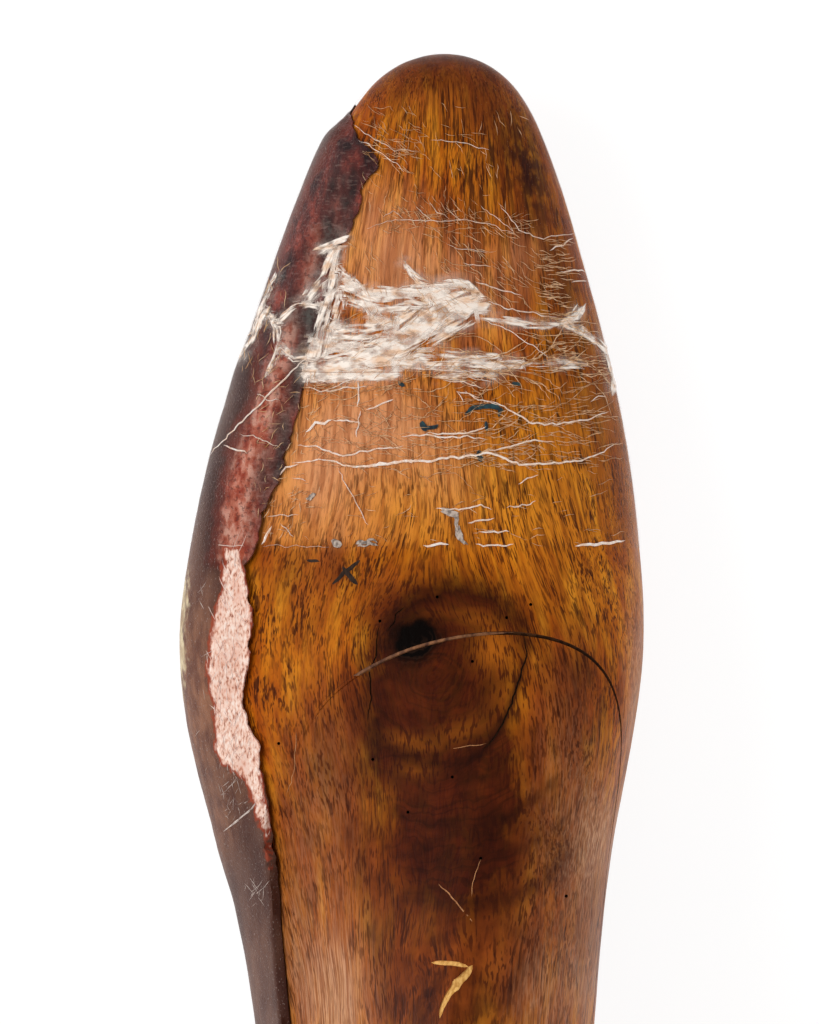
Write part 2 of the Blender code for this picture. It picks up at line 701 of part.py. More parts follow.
def brad_profile(gap, base):
    """A small headed pin along Z, whose head lies in the leather at height base over the wood."""
    head, shank = BRAD_HEAD_R + gap, BRAD_R + gap
    top = base if gap == 0 else base + OVERCUT
    foot = base - BRAD_LENGTH - gap
    return [
        (0, top), (head, top), (head, base - BRAD_HEAD - gap), (shank, base - BRAD_HEAD - gap),
        (shank, foot + BRAD_POINT), (BRAD_POINT_R + gap, foot), (0, foot),
    ]


def make_brads(finishes, leather, body):
    """Brads that pin the fitting's lower edge to the wood."""
    for number, y in enumerate(BRAD_YS, 1):
        run = run_of(y)
        seat = wood(run, -1, BRAD_UP)
        normal = outward(run, -1, BRAD_UP)
        turn = normal.to_track_quat("Z", "X").to_matrix().to_4x4()
        where = Matrix.Translation(seat) @ turn
        base = fitting_foot(run, BRAD_UP) + fitting_thickness(run, BRAD_UP, fitting_top(run)) - BRAD_SUNK
        brad = placed(f"fitting_brad_{number}", turned(brad_profile(0, base), 12), finishes["iron"])
        brad.matrix_world = where
        hole = cutter(f"fitting_brad_hole_{number}", turned(brad_profile(FIT_GAP, base), 12))
        hole.matrix_world = where
        boolean(leather, hole)
        boolean(body, hole)


def make_tape(finishes):
    """Bands of clear tape over the toe, trimmed just above the feather edge."""
    ends = (TAPE_REAR, *TAPE_SEAMS, TOE_TIP_AT)
    for number, (rear, front) in enumerate(zip(ends, ends[1:]), 1):
        start = run_of(rear + (FIT_GAP / 2 if number > 1 else 0))
        stop = pi if number == len(ends) - 1 else run_of(front - FIT_GAP / 2)
        lengthwise = 15 if stop == pi else max(2, round((front - rear) / (3 * MM)))
        across = steps(TAPE_FOOT, 4 - TAPE_FOOT, 46)
        made = skin(
            steps(start, stop, lengthwise),
            across,
            lambda run, w: cover(run, w) + SKIN_GAP,
            lambda run, w: cover(run, w) + SKIN_GAP + TAPE_THICKNESS,
        )
        placed(f"tape_band_{number}", made, finishes["tape"])


def make_wood(finishes, seats):
    """The carved last, sawn into body and block, with the holes that the metal parts seat in."""
    body = placed("last_body", carved_form(), finishes["wood"], 50)
    block = placed("instep_block", carved_form(), finishes["wood"], 50)
    boolean(body, scoop_cutter("scoop_for_body", SAW_KERF / 2))
    boolean(block, scoop_cutter("scoop_for_block", -SAW_KERF / 2), "INTERSECT")
    for seat in seats:
        boolean(body, seat)
    hook = cross_cylinder(HOOK_AT, HOOK_HEIGHT, HOOK_R, 4 * HEEL_HALF, 28)
    boolean(body, cutter("hook_hole", hook))
    for number in range(1, len(nail_places()) + 1):
        boolean(body, bpy.data.objects[f"heel_plate_hole_{number}"])
    return body, block


def main():
    for old in list(bpy.data.objects):
        bpy.data.objects.remove(old)
    finishes = {
        "wood": material("varnished_hardwood", (0.24, 0.075, 0.015), 0.35),
        "leather": material("dark_grain_leather", (0.035, 0.018, 0.018), 0.45),
        "leather_flesh": material("leather_flesh", (0.45, 0.2, 0.13), 0.9),
        "tape": material("clear_tape", (0.8, 0.62, 0.5), 0.25),
        "steel": material("dull_steel", (0.35, 0.34, 0.33), 0.4, 1.0),
        "iron": material("dark_iron", (0.16, 0.15, 0.14), 0.5, 1.0),
        "brass": material("aged_brass", (0.55, 0.38, 0.14), 0.35, 1.0),
    }
    recess = make_heel_plate(finishes)
    thimble_seat = make_thimble(finishes)
    screw_hole = make_screw(finishes)
    body, block = make_wood(finishes, [recess, thimble_seat, screw_hole])
    boolean(block, screw_hole)
    leather = make_fitting(finishes)
    make_underlay(finishes)
    make_brads(finishes, leather, body)
    make_tape(finishes)


main()
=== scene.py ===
"""Looks of an old wooden shoe last for a left foot: shellacked hardwood with a sawn instep block, a leather
fitting glued to the outer side, clear tape crinkled over the toe, and the metal parts at the heel.

Metres, +Z up, heel to toe along +Y, the inner side of the foot at +X. Places and sizes in the tables are
millimetres in that frame."""

from collections import namedtuple
from functools import lru_cache
from math import acos, cos, pi, radians, sin, sqrt, tau
from random import Random

import bmesh
import bpy
import numpy as np
from mathutils import Matrix, Vector, noise
from mathutils.bvhtree import BVHTree


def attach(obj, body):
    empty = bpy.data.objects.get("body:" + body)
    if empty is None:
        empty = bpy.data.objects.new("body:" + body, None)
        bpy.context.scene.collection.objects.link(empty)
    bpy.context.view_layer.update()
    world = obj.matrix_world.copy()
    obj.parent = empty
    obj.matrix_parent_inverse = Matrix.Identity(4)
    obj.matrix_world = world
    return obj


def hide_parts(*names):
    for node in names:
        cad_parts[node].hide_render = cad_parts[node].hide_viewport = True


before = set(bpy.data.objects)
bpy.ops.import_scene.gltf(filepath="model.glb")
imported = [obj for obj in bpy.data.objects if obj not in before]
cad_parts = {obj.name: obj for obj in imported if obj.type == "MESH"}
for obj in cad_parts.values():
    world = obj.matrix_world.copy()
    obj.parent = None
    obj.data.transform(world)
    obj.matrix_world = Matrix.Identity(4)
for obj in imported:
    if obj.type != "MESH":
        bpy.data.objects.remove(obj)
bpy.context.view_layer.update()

MM = 0.001

# The carved form, as the CAD part has it
HEEL_BACK = 30
TOE_TIP_AT = 259.3
MIDDLE = (TOE_TIP_AT - HEEL_BACK) / 2
HALF_LENGTH = (TOE_TIP_AT + HEEL_BACK) / 2
CONE_TOP = 88
HEEL_CURVE = 8
HEEL_TUCK = 4
TOE_ROUND = 7
TOE_TUCK = 3
END_BLEND = 34

# The saw cut of the instep block: a cylinder across the last. It shows finer than the CAD part's 0.8 mm
CUT_AT = (95.9, 113.5)
CUT_RADIUS = 80.1
SAW_KERF = 0.55

# Holes for the metal parts, as (radius, depth below the cone top)
SCREW_AT = (3, 38)
SCREW_HOLE = (
    (0, 58), (3.05, 58), (3.05, 5.3), (4.25, 5.3), (4.25, 4.45), (6.7, 1.45), (7.7, 1.2), (7.7, -4), (0, -4),
)
THIMBLE_AT = (0, -3)
THIMBLE_HOLE = ((0, 38.3), (7.9, 38.3), (7.9, 1.5), (9.9, 1.5), (9.9, -4), (0, -4))
HOOK_AT, HOOK_HEIGHT, HOOK_RADIUS = 14, 58, 4.5

# Leather on the lateral side. Behind TRIMMED_TO its top is cut square instead of skived
LEATHER_THICKNESS = 2.2
LEATHER_EDGE = 0.35
LEATHER_REAR, LEATHER_FRONT = 11, 249
LEATHER_FOOT = 0.12
SKIVE_TOP, SKIVE_FOOT, SKIVE_END = 8, 4, 8
TRIMMED_TO, TRIMMED_OVER, TRIMMED_EDGE = 113.6, 12, 0.75
UNDERLAY = (106, 188, 0.8, 1.28)
UNDERLAY_THICKNESS = 1.5
SKIN_GAP = 0.35
PRESSED_FROM, PRESSED_BY = 242, 0.45

# Tape over the toe, which bridges the leather's edge in a short slope
TAPE_REAR = 160.4
TAPE_SEAMS = (178, 195.5, 224)
TAPE_FOOT = 0.1
FILM = 0.08
FILM_LEVEL, FILM_SLOPE = 0.5, 4
FILM_GAP = 0.18
CRUMPLE, CRUMPLE_SIZE = 0.25, (5, 1.6)

# Higher than any part of the last, where rays that look for its surface start
ABOVE = 200

Section = namedtuple(
    "Section",
    "y medial lateral sole_medial sole_lateral wide_medial wide_lateral sole feather ridge ridge_x"
    " full_medial full_lateral",
)
SECTIONS = [
    Section(*row)
    for row in (
        (-30, 0, 0, 0, 0, 24, 24, 0.35, 0.45, 107, 0, 0.5, 0.5),
        (-20.1, 23.87, -23.56, 20.46, -20.15, 25, 25, 0.35, 0.45, 108, 0, 0.48, 0.48),
        (2, 31, -31, 27, -26.5, 26, 26, 0.35, 0.45, 110, 0.5, 0.38, 0.36),
        (35, 32.5, -29.5, 24.5, -25, 28, 22, 2.88, 5, 104, 3, 0.45, 0.24),
        (65, 34.8, -30.4, 23.5, -26.5, 28, 18, 8, 10, 83, 6, 0.56, 0.14),
        (100, 38.4, -37.2, 28, -33, 24, 17, 7.36, 9, 64, 12, 0.6, 0.2),
        (142, 44.8, -43.8, 40.5, -40, 19.5, 17, 1.2, 3.2, 49.5, 17, 0.64, 0.4),
        (159.893, 44, -41.8, 41, -38.6, 18, 16.5, 0, 2, 45.4, 15, 0.6, 0.46),
        (179.775, 41.6, -38.1, 38.6, -35.2, 17.5, 16.5, 0.8, 2.6, 42, 13, 0.57, 0.5),
        (214.567, 33.5, -27.7, 30.6, -24.9, 17.5, 17, 4.4, 6, 37, 8, 0.55, 0.53),
        (245.383, 23.3, -15, 20.6, -12.4, 19.5, 19.5, 9.5, 10.8, 33, 5.6, 0.55, 0.55),
        (255.324, 16.2, -6.9, 14, -4.6, 21, 21, 11.5, 12.5, 32, 5, 0.55, 0.55),
        (259.3, 4.8, 4.8, 4.8, 4.8, 21.5, 21.5, 12.5, 13.5, 31.5, 4.8, 0.55, 0.55),
    )
]

# The leather's upper edge: along the last, and aside to the lateral side
LEATHER_TOP = (
    (11, 27.5), (38, 27.2), (65, 25.6), (84, 27.4), (96, 27.9), (104, 28.8), (110, 29.7), (118, 31.2),
    (121.6, 31.6), (125, 33.2), (128.6, 34.7), (132, 34.6), (134, 34), (139.8, 33.4), (147.6, 32.9),
    (152.4, 34), (156.8, 34.3), (160.2, 32.2), (167.4, 30.8), (173.8, 27.8), (178.4, 26.8), (182.8, 25.6),
    (188.8, 23.9), (194, 22.7), (199.8, 22.5), (205, 20.2), (207.6, 19.5), (210.6, 18.1), (215.2, 16.9),
    (218.6, 17.8), (221, 16), (223.6, 13.7), (227.6, 12), (232.4, 11.8), (234.8, 9.9), (238.6, 7.6),
    (240.4, 9), (242.8, 12.4), (247.4, 13.6), (249, 14),
)


def run_of(y):
    """How far along the last y is, as an angle from 0 at the heel's back to pi at the toe tip."""
    return acos(max(-1.0, min(1.0, (MIDDLE - y) / HALF_LENGTH)))


def place_of(run):
    return MIDDLE - HALF_LENGTH * cos(run)


def smooth(x):
    x = max(0.0, min(1.0, x))
    return x * x * (3 - 2 * x)


class Line:
    """A cubic spline through points. Its ends are flat or, where it crosses the axis there, straight."""

    def __init__(self, at, values, flat_ends):
        self.at = np.array(at, float)
        self.values = np.array(values, float)
        step = np.diff(self.at)
        rise = np.diff(self.values) / step
        count = len(at)
        rows = np.zeros((count, count))
        right = np.zeros(count)
        for i in range(1, count - 1):
            rows[i, i - 1 : i + 2] = step[i - 1], 2 * (step[i - 1] + step[i]), step[i]
            right[i] = 6 * (rise[i] - rise[i - 1])
        rows[0, 0] = rows[-1, -1] = 1
        if flat_ends:
            rows[0, :2] = 2 * step[0], step[0]
            rows[-1, -2:] = step[-1], 2 * step[-1]
            right[0], right[-1] = 6 * rise[0], -6 * rise[-1]
        self.bend = np.linalg.solve(rows, right)

    def __call__(self, t):
        i = int(np.clip(np.searchsorted(self.at, t) - 1, 0, len(self.at) - 2))
        step = self.at[i + 1] - self.at[i]
        a, b = (self.at[i + 1] - t) / step, (t - self.at[i]) / step
        curve = (a**3 - a) * self.bend[i] + (b**3 - b) * self.bend[i + 1]
        return float(a * self.values[i] + b * self.values[i + 1] + curve * step * step / 6)


RUNS = [run_of(section.y) for section in SECTIONS]
FLAT = {"wide_medial", "wide_lateral", "sole", "feather", "ridge", "full_medial", "full_lateral"}
LINES = [
    Line(RUNS, [getattr(section, field) for section in SECTIONS], field in FLAT)
    for field in Section._fields[1:]
]


@lru_cache(maxsize=None)
def section_at(run):
    return Section(place_of(run), *(line(run) for line in LINES))


def bezier(a, b, c, d, t):
    u = 1 - t
    return a * u**3 + 3 * b * u * u * t + 3 * c * u * t * t + d * t**3


def section_point(run, side, v):
    """x and z on a section. v runs from the sole's middle (-1) over the feather edge (0) and the widest
    line (1) to the ridge (2)."""
    s = section_at(run)
    if side > 0:
        wide_x, wide_z, edge_x, full = s.medial, s.wide_medial, s.sole_medial, s.full_medial
    else:
        wide_x, wide_z, edge_x, full = s.lateral, s.wide_lateral, s.sole_lateral, s.full_lateral
    if v <= 0:
        middle = (s.sole_medial + s.sole_lateral) / 2
        return middle + (edge_x - middle) * (1 + v), s.sole + (s.feather - s.sole) * (1 + v) ** 2
    if v <= 1:
        rise = wide_z - s.feather
        x = bezier(edge_x, edge_x + 0.6 * (wide_x - edge_x), wide_x, wide_x, v)
        return x, bezier(s.feather, s.feather + 0.25 * rise, wide_z - 0.45 * rise, wide_z, v)
    x = bezier(wide_x, wide_x, s.ridge_x + full * (wide_x - s.ridge_x), s.ridge_x, v - 1)
    return x, bezier(wide_z, wide_z + full * (s.ridge - wide_z), s.ridge, s.ridge, v - 1)


def wood(run, side, v):
    """A point of the carved surface, with the heel's back and the toe curved in side view."""
    x, z = section_point(run, side, v)
    s = section_at(run)
    y = s.y
    below = max(0.0, (s.wide_medial - z) / (s.wide_medial - s.feather)) ** 2
    heel = smooth((END_BLEND - HEEL_BACK - y) / END_BLEND)
    up = max(0.0, (z - s.wide_medial) / (CONE_TOP - s.wide_medial))
    y += heel * (HEEL_CURVE * up * up + HEEL_TUCK * below)
    toe = smooth((y - TOE_TIP_AT + END_BLEND) / END_BLEND)
    up = max(0.0, min(1.0, (z - s.wide_medial) / (s.ridge - s.wide_medial)))
    y -= toe * (TOE_ROUND * (1 - sqrt(1 - up * up)) + TOE_TUCK * below)
    return Vector((x, y, z))


def outward(run, side, v):
    """The unit normal of the wood's surface, which has no sideways part on the seam at either end."""
    h, k = 0.004, 0.01
    along = wood(min(pi, run + h), side, v) - wood(max(0.0, run - h), side, v)
    across = wood(run, side, min(2.0, v + k)) - wood(run, side, max(0.0, v - k))
    normal = along.cross(across) * side
    if run > pi - h or run < h:
        normal.x = 0
    return normal.normalized()


def lifted(run, w, height):
    """A point over the wood, at a place w round it: from the middle of the sole (-1) over the lateral
    feather edge (0), the ridge (2) and the medial feather edge (4) back to the sole (5)."""
    side, v = (-1, w) if w <= 2 else (1, 4 - w)
    return wood(run, side, v) + outward(run, side, v) * height


def leather_top_aside(y):
    """How far aside the leather's ragged upper edge lies."""
    ys, asides = zip(*LEATHER_TOP)
    frayed = smooth((y - 90) / 10)
    rag = noise.noise(Vector((y * 0.45, 3.1, 0))) * 0.8 + noise.noise(Vector((y * 1.3, 7.7, 0))) * 0.4
    return -float(np.interp(y, ys, asides)) + rag * frayed


@lru_cache(maxsize=None)
def leather_top(run):
    """v of the leather's upper edge, found from how far aside it lies."""
    aside = leather_top_aside(place_of(run))
    low, high = 1.0, 2.0
    for _ in range(24):
        middle = (low + high) / 2
        if section_point(run, -1, middle)[0] < aside:
            low = middle
        else:
            high = middle
    return (low + high) / 2


def gap_between(run, v_a, v_b):
    return (wood(run, -1, v_a) - wood(run, -1, v_b)).length


def underlay_at(run, v):
    """Thickness of the underlay at a place, and how much of the leather's bulge over it is there."""
    rear, front, foot, head = UNDERLAY
    along = (2 * place_of(run) - rear - front) / (front - rear)
    up = (2 * v - foot - head) / (head - foot)
    crown = max(0.0, 1 - along * along) * max(0.0, 1 - up * up)
    thickness = LEATHER_EDGE + (UNDERLAY_THICKNESS - LEATHER_EDGE) * crown
    past = max(abs(along) - 1, (abs(up) - 1) * 0.6, 0.0)
    return thickness, 1 - smooth((past - 0.12) / 0.3)


def leather_foot(run, v):
    """Height of the leather's inner face over the wood."""
    thickness, share = underlay_at(run, v)
    return SKIN_GAP + (thickness + SKIN_GAP) * share


def leather_thickness(run, v, top):
    y = place_of(run)
    trimmed = smooth((TRIMMED_TO - y) / TRIMMED_OVER)
    skive = SKIVE_TOP * (1 - trimmed) + LEATHER_EDGE * trimmed
    shares = (
        gap_between(run, v, top) / skive + TRIMMED_EDGE * trimmed,
        gap_between(run, v, LEATHER_FOOT) / SKIVE_FOOT,
        (LEATHER_FRONT - y) / SKIVE_END,
        (y - LEATHER_REAR) / SKIVE_END,
    )
    return LEATHER_EDGE + (LEATHER_THICKNESS - LEATHER_EDGE) * smooth(min(shares))


def pressed_down(run):
    """How much of its height the leather keeps towards its thin front end."""
    return 1 - PRESSED_BY * smooth((place_of(run) - PRESSED_FROM) / (LEATHER_FRONT - PRESSED_FROM))


def cover(run, w):
    """Height over the wood of what lies under the tape."""
    if w >= 2:
        return 0.0
    y = place_of(run)
    top = leather_top(run)
    kept = pressed_down(run) * (1 - smooth((y - LEATHER_FRONT) / FILM_SLOPE))
    if w <= top:
        return (leather_foot(run, w) + leather_thickness(run, w, top)) * kept
    edge = leather_foot(run, top) + leather_thickness(run, top, top)
    return edge * (1 - smooth((gap_between(run, w, top) - FILM_LEVEL) / FILM_SLOPE)) * kept


def steps(low, high, count):
    return [low + (high - low) * i / count for i in range(count + 1)]


def wrapped_grid(form, along, across, point_at):
    """Adds a grid and moves its vertices to point_at(run, w), given in millimetres."""
    grid = bmesh.ops.create_grid(form, x_segments=len(along) - 1, y_segments=len(across) - 1, size=1)
    for vert in grid["verts"]:
        i = round((vert.co.x + 1) / 2 * (len(along) - 1))
        j = round((vert.co.y + 1) / 2 * (len(across) - 1))
        vert.co = point_at(along[i], across[j]) * MM


def merge(form, within=0.001):
    bmesh.ops.remove_doubles(form, verts=form.verts, dist=within * MM)


def placed(name, form, finishes, sharp_angle=40):
    """An object from a bmesh, with its faces turned outwards and round parts shaded smooth."""
    bmesh.ops.recalc_face_normals(form, faces=form.faces)
    mesh = bpy.data.meshes.new(name)
    form.to_mesh(mesh)
    form.free()
    for finish in finishes:
        mesh.materials.append(finish)
    mesh.shade_smooth()
    mesh.set_sharp_from_angle(angle=radians(sharp_angle))
    piece = bpy.data.objects.new(name, mesh)
    bpy.context.scene.collection.objects.link(piece)
    return piece


def cut(piece, tool, operation="DIFFERENCE"):
    """Cuts a piece with a tool, whose finish the cut faces take."""
    step = piece.modifiers.new("cut", "BOOLEAN")
    step.operation = operation
    step.solver = "EXACT"
    step.material_mode = "TRANSFER"
    step.object = tool


def finished(piece, sharp_angle=40):
    """Makes the piece's modifiers part of its mesh."""
    evaluated = piece.evaluated_get(bpy.context.evaluated_depsgraph_get())
    mesh = bpy.data.meshes.new_from_object(evaluated)
    piece.modifiers.clear()
    piece.data = mesh
    mesh.shade_smooth()
    mesh.set_sharp_from_angle(angle=radians(sharp_angle))


def seen_from_above(pieces):
    """The faces of some pieces, ready to be met by a ray from above."""
    points, faces = [], []
    for piece in pieces:
        first = len(points)
        points += [vert.co for vert in piece.data.vertices]
        faces += [[first + i for i in face.vertices] for face in piece.data.polygons]
    return BVHTree.FromPolygons(points, faces)


# Outlines of strands, in half widths aside and heights up
RIDGE = ((-1, -0.3), (0, 1), (1, -0.3))
GROOVE = ((-1.5, 0.5), (1.5, 0.5), (0, -1))
DAUB = ((-1, -1), (-0.7, 0.7), (0.7, 0.7), (1, -1))


def lay(form, surface, line, outline, half_width, height, slot=0, waver=0.0, pace=1.0):
    """Adds a closed strand with pointed ends along a line of (x, y) on a surface seen from above. Its
    outline is given in half widths aside and heights up."""
    line = [Vector(point) for point in line]
    spots = []
    for a, b in zip(line, line[1:]):
        count = max(1, round((b - a).length / pace))
        spots += [a.lerp(b, i / count) for i in range(count)]
    spots.append(line[-1])
    met = []
    for number, spot in enumerate(spots):
        side = waver * noise.noise(Vector((spot.x * 0.7, spot.y * 0.7, len(form.verts) * 0.37)))
        ahead = spots[min(number + 1, len(spots) - 1)] - spots[max(number - 1, 0)]
        aside = Vector((-ahead.y, ahead.x)).normalized()
        start = Vector((*(spot + aside * side), ABOVE)) * MM
        place, normal, _, _ = surface.ray_cast(start, Vector((0, 0, -1)))
        if place is not None:
            met.append((place / MM, normal))
    if len(met) < 3:
        return
    rows = []
    for number, (place, normal) in enumerate(met):
        ahead = met[min(number + 1, len(met) - 1)][0] - met[max(number - 1, 0)][0]
        aside = normal.cross(ahead).normalized()
        share = number / (len(met) - 1)
        full = min(1.0, 2.2 * sqrt(share * (1 - share)))
        rows.append([
            (place + aside * (x * half_width * full) + normal * (z * height * full)) * MM
            for x, z in outline
        ])
    strand = bmesh.ops.create_grid(form, x_segments=len(rows) - 1, y_segments=len(outline), size=1)
    for vert in strand["verts"]:
        i = round((vert.co.x + 1) / 2 * (len(rows) - 1))
        j = round((vert.co.y + 1) / 2 * len(outline))
        vert.co = rows[i][j % len(outline)]
        for face in vert.link_faces:
            face.material_index = slot


# Materials


def linear(hex_colour):
    """An sRGB hex colour as a linear one with alpha."""
    parts = [int(hex_colour[i : i + 2], 16) / 255 for i in (1, 3, 5)]
    return (*(p / 12.92 if p <= 0.04045 else ((p + 0.055) / 1.055) ** 2.4 for p in parts), 1)


def add(tree, kind, inputs=None, stops=(), **settings):
    """Adds a node and gives its live output. An input is a value, a hex colour or an output to link."""
    node = tree.nodes.new("ShaderNode" + kind)
    for name, value in settings.items():
        setattr(node, name, value)
    for name, value in (inputs or {}).items():
        if isinstance(value, bpy.types.NodeSocket):
            tree.links.new(value, node.inputs[name])
        else:
            node.inputs[name].default_value = linear(value) if isinstance(value, str) else value
    for number, (position, tone) in enumerate(stops):
        elements = node.color_ramp.elements
        element = elements[number] if number < 2 else elements.new(position)
        element.position = position
        element.color = linear(tone) if isinstance(tone, str) else (tone, tone, tone, 1)
    return next(output for output in node.outputs if output.enabled)


def new_finish(name, **shader_values):
    """A material and its Principled shader, with the values that are the same all over."""
    finish = bpy.data.materials.new(name)
    finish.use_nodes = True
    shader = finish.node_tree.nodes["Principled BSDF"]
    for socket, value in shader_values.items():
        shader.inputs[socket.replace("_", " ")].default_value = value
    return finish, finish.node_tree, shader


def in_millimetres(tree):
    place = add(tree, "TexCoord").node.outputs["Object"]
    return add(tree, "Mapping", {"Vector": place, "Scale": (1000, 1000, 1000)})


def patches(tree, place, size, *stops, detail=3.0):
    """Colours or strengths spread by noise whose patches have the given size in millimetres."""
    laid = add(tree, "Mapping", {"Vector": place, "Scale": [1 / length for length in size]})
    value = add(tree, "TexNoise", {"Vector": laid, "Scale": 1.0, "Detail": detail})
    return add(tree, "ValToRGB", {"Fac": value}, stops) if stops else value


def painted(tree, colour, *coats):
    """Lays coats over a colour; each coat is (where, how strongly, its colour)."""
    for where, strength, tone in coats:
        share = add(tree, "Math", {0: where, 1: strength}, operation="MULTIPLY")
        colour = add(tree, "Mix", {0: share, 6: colour, 7: tone}, data_type="RGBA")
    return colour


def ragged(tree, depth, rag, roughness, start, full):
    """1 where a depth in millimetres passes from start to full, along an edge that noise breaks up."""
    broken = add(tree, "Math", {0: rag, 1: roughness, 2: depth}, operation="MULTIPLY_ADD")
    middle = roughness / 2
    return add(tree, "MapRange", {0: broken, 1: middle + start, 2: middle + full})


WOOD_TONES = ("golden", "haze_and_sheen", "russet", "wear_and_sheen", "deep", "heart", "amber", "streaky")
HEART_AT = (2.5, 135)
KNOT_AT, KNOT_TURN, KNOT_SIZE = (-0.9, 142), 32, (7.4, 6.2)


def shellacked_hardwood():
    """Open-pored tropical hardwood under old amber shellac: dense short dark pores and lengthwise streaks
    on golden orange, a black knot in dark red heartwood, and a soft gloss that wear has thinned at the waist.
    Pale pinkish patches of painted sheen lie at the waist, on the right flank and under the tape."""
    finish, tree, shader = new_finish(
        "shellacked_hardwood", Specular_IOR_Level=0.04, Coat_Weight=0.03, Coat_Roughness=0.15
    )
    place = in_millimetres(tree)
    grain = add(tree, "Attribute", attribute_name="grain").node.outputs["Vector"]
    tone = {name: add(tree, "Attribute", attribute_name=name).node.outputs["Fac"] for name in WOOD_TONES}

    colour = patches(
        tree, grain, (4, 18, 4), (0.3, "#783006"), (0.42, "#AE540C"), (0.54, "#C87012"), (0.68, "#E08E22"),
        detail=4.0,
    )
    streaks = patches(tree, grain, (1.1, 16, 1.1), (0.46, 0.0), (0.62, 1.0))
    bold = patches(tree, grain, (1.1, 15, 1.1), (0.54, 0.0), (0.59, 1.0), detail=4.0)
    bold = add(tree, "Math", {0: bold, 1: tone["streaky"]}, operation="MULTIPLY")
    threads = patches(tree, grain, (0.35, 12, 0.35), (0.42, 0.0), (0.62, 1.0))
    blotches = patches(tree, place, (2.5, 3.5, 2.5), (0.4, 0.5), (0.56, 1.0), detail=5.0)
    clouds = patches(tree, place, (5, 8, 5), (0.36, "#4E1E0A"), (0.64, "#863E16"), detail=5.0)
    colour = painted(
        tree, colour,
        (tone["golden"], 0.6, "#E8962A"),
        # painted sheen, partly the tape's haze: pale pinkish
        (tone["haze_and_sheen"], 0.75, "#E09C6E"),
        (streaks, 0.5, "#8E400E"),
        (tone["russet"], 0.85, clouds),
        (bold, 0.85, "#2C120B"),
        # rubbed-through varnish and pale painted sheen, both pale brown with paler threads
        (tone["wear_and_sheen"], 0.85, painted(tree, "#9A6545", (threads, 1.0, "#CD9B77"))),
        (tone["deep"], blotches, "#2E0F07"),
    )
    flecks = patches(tree, grain, (0.32, 2.8, 0.32), (0.53, 0.0), (0.6, 1.0), detail=1.0)
    pores = patches(tree, grain, (0.7, 8, 0.7), (0.57, 0.0), (0.64, 1.0), detail=2.0)
    dense = patches(tree, grain, (4, 9, 4), (0.36, 0.35), (0.56, 1.0))
    # Under the painted sheen, the haze and the wear the flecks fade
    veil = add(tree, "Math", {0: tone["haze_and_sheen"], 1: tone["wear_and_sheen"]}, operation="MAXIMUM")
    clear = add(tree, "MapRange", {0: veil, 3: 0.85, 4: 0.3})
    clear = add(tree, "Math", {0: clear, 1: dense}, operation="MULTIPLY")
    colour = painted(tree, colour, (flecks, clear, "#4A1E0A"), (pores, clear, "#371508"))

    # Heartwood round the knot: dark and smooth, with rings and smoky clouds
    flat = add(tree, "Mapping", {
        "Vector": place, "Location": (-HEART_AT[0], -HEART_AT[1], 0), "Scale": (1, 1, 0),
    })
    radius = add(tree, "VectorMath", {0: flat}, operation="LENGTH")
    bends = patches(tree, place, (9, 9, 9))
    bent = add(tree, "Math", {0: bends, 1: 9.0, 2: radius}, operation="MULTIPLY_ADD")
    ring = add(tree, "TexNoise", {"W": bent, "Scale": 0.8, "Detail": 3.0}, noise_dimensions="1D")
    rings = add(tree, "ValToRGB", {"Fac": ring}, ((0.46, 0.0), (0.66, 1.0)))
    smoke = patches(tree, place, (6, 4, 6), (0.44, 0.0), (0.62, 1.0), detail=5.0)
    glow = patches(tree, place, (4, 6, 4), (0.48, 0.0), (0.66, 1.0), detail=5.0)
    heartwood = painted(
        tree, "#421609", (smoke, 0.65, "#270B06"), (glow, 0.4, "#66260D"), (rings, 0.5, "#210A05"),
        (tone["amber"], 0.9, painted(tree, "#BA6618", (flecks, 0.8, "#54230C"))), (flecks, 0.14, "#240E08"),
        (tone["deep"], 0.9, "#1E0A06"),
    )
    rag = patches(tree, place, (4, 6, 4), detail=6.0)
    heart = ragged(tree, tone["heart"], rag, 7.0, -4.0, 3.5)
    colour = painted(tree, colour, (heart, 0.97, heartwood))

    # Its black core, which lies to one side
    turned_place = add(tree, "Mapping", {
        "Vector": place, "Location": (-KNOT_AT[0], -KNOT_AT[1], 0), "Scale": (1, 1, 0),
    })
    turned_place = add(tree, "Mapping", {"Vector": turned_place, "Rotation": (0, 0, -radians(KNOT_TURN))})
    ellipse = add(tree, "Mapping", {"Vector": turned_place, "Scale": (1 / KNOT_SIZE[0], 1 / KNOT_SIZE[1], 1)})
    reach = add(tree, "VectorMath", {0: ellipse}, operation="LENGTH")
    frays = patches(tree, place, (3, 3, 3))
    frayed = add(tree, "Math", {0: frays, 1: 0.5, 2: reach}, operation="MULTIPLY_ADD")
    black = add(tree, "MapRange", {0: frayed, 1: 1.3, 2: 0.7}, interpolation_type="SMOOTHSTEP")
    wave = add(tree, "Math", {0: frayed, 1: 34.0}, operation="MULTIPLY")
    wave = add(tree, "Math", {0: wave}, operation="SINE", use_clamp=True)
    below = add(tree, "SeparateXYZ", {0: ellipse}).node.outputs["Y"]
    below = add(tree, "MapRange", {0: below, 1: 0.1, 2: -0.3})
    wave = add(tree, "Math", {0: wave, 1: below}, operation="MULTIPLY")
    over = add(tree, "Math", {0: black, 1: heart}, operation="MULTIPLY", use_clamp=True)
    colour = painted(tree, colour, (over, 1.0, painted(tree, "#080403", (wave, 0.3, "#3C2418"))))
    tree.links.new(colour, shader.inputs["Base Color"])

    hollows = add(tree, "Math", {0: flecks, 1: pores}, operation="ADD")
    relief = add(tree, "Math", {0: hollows, 1: -1.0}, operation="MULTIPLY")
    bump = add(tree, "Bump", {"Height": relief, "Strength": 0.3, "Distance": 0.0001})
    tree.links.new(bump, shader.inputs["Normal"])
    rub = patches(tree, place, (8, 14, 8), (0.3, 0.3), (0.7, 0.5), detail=4.0)
    tree.links.new(rub, shader.inputs["Roughness"])
    return finish


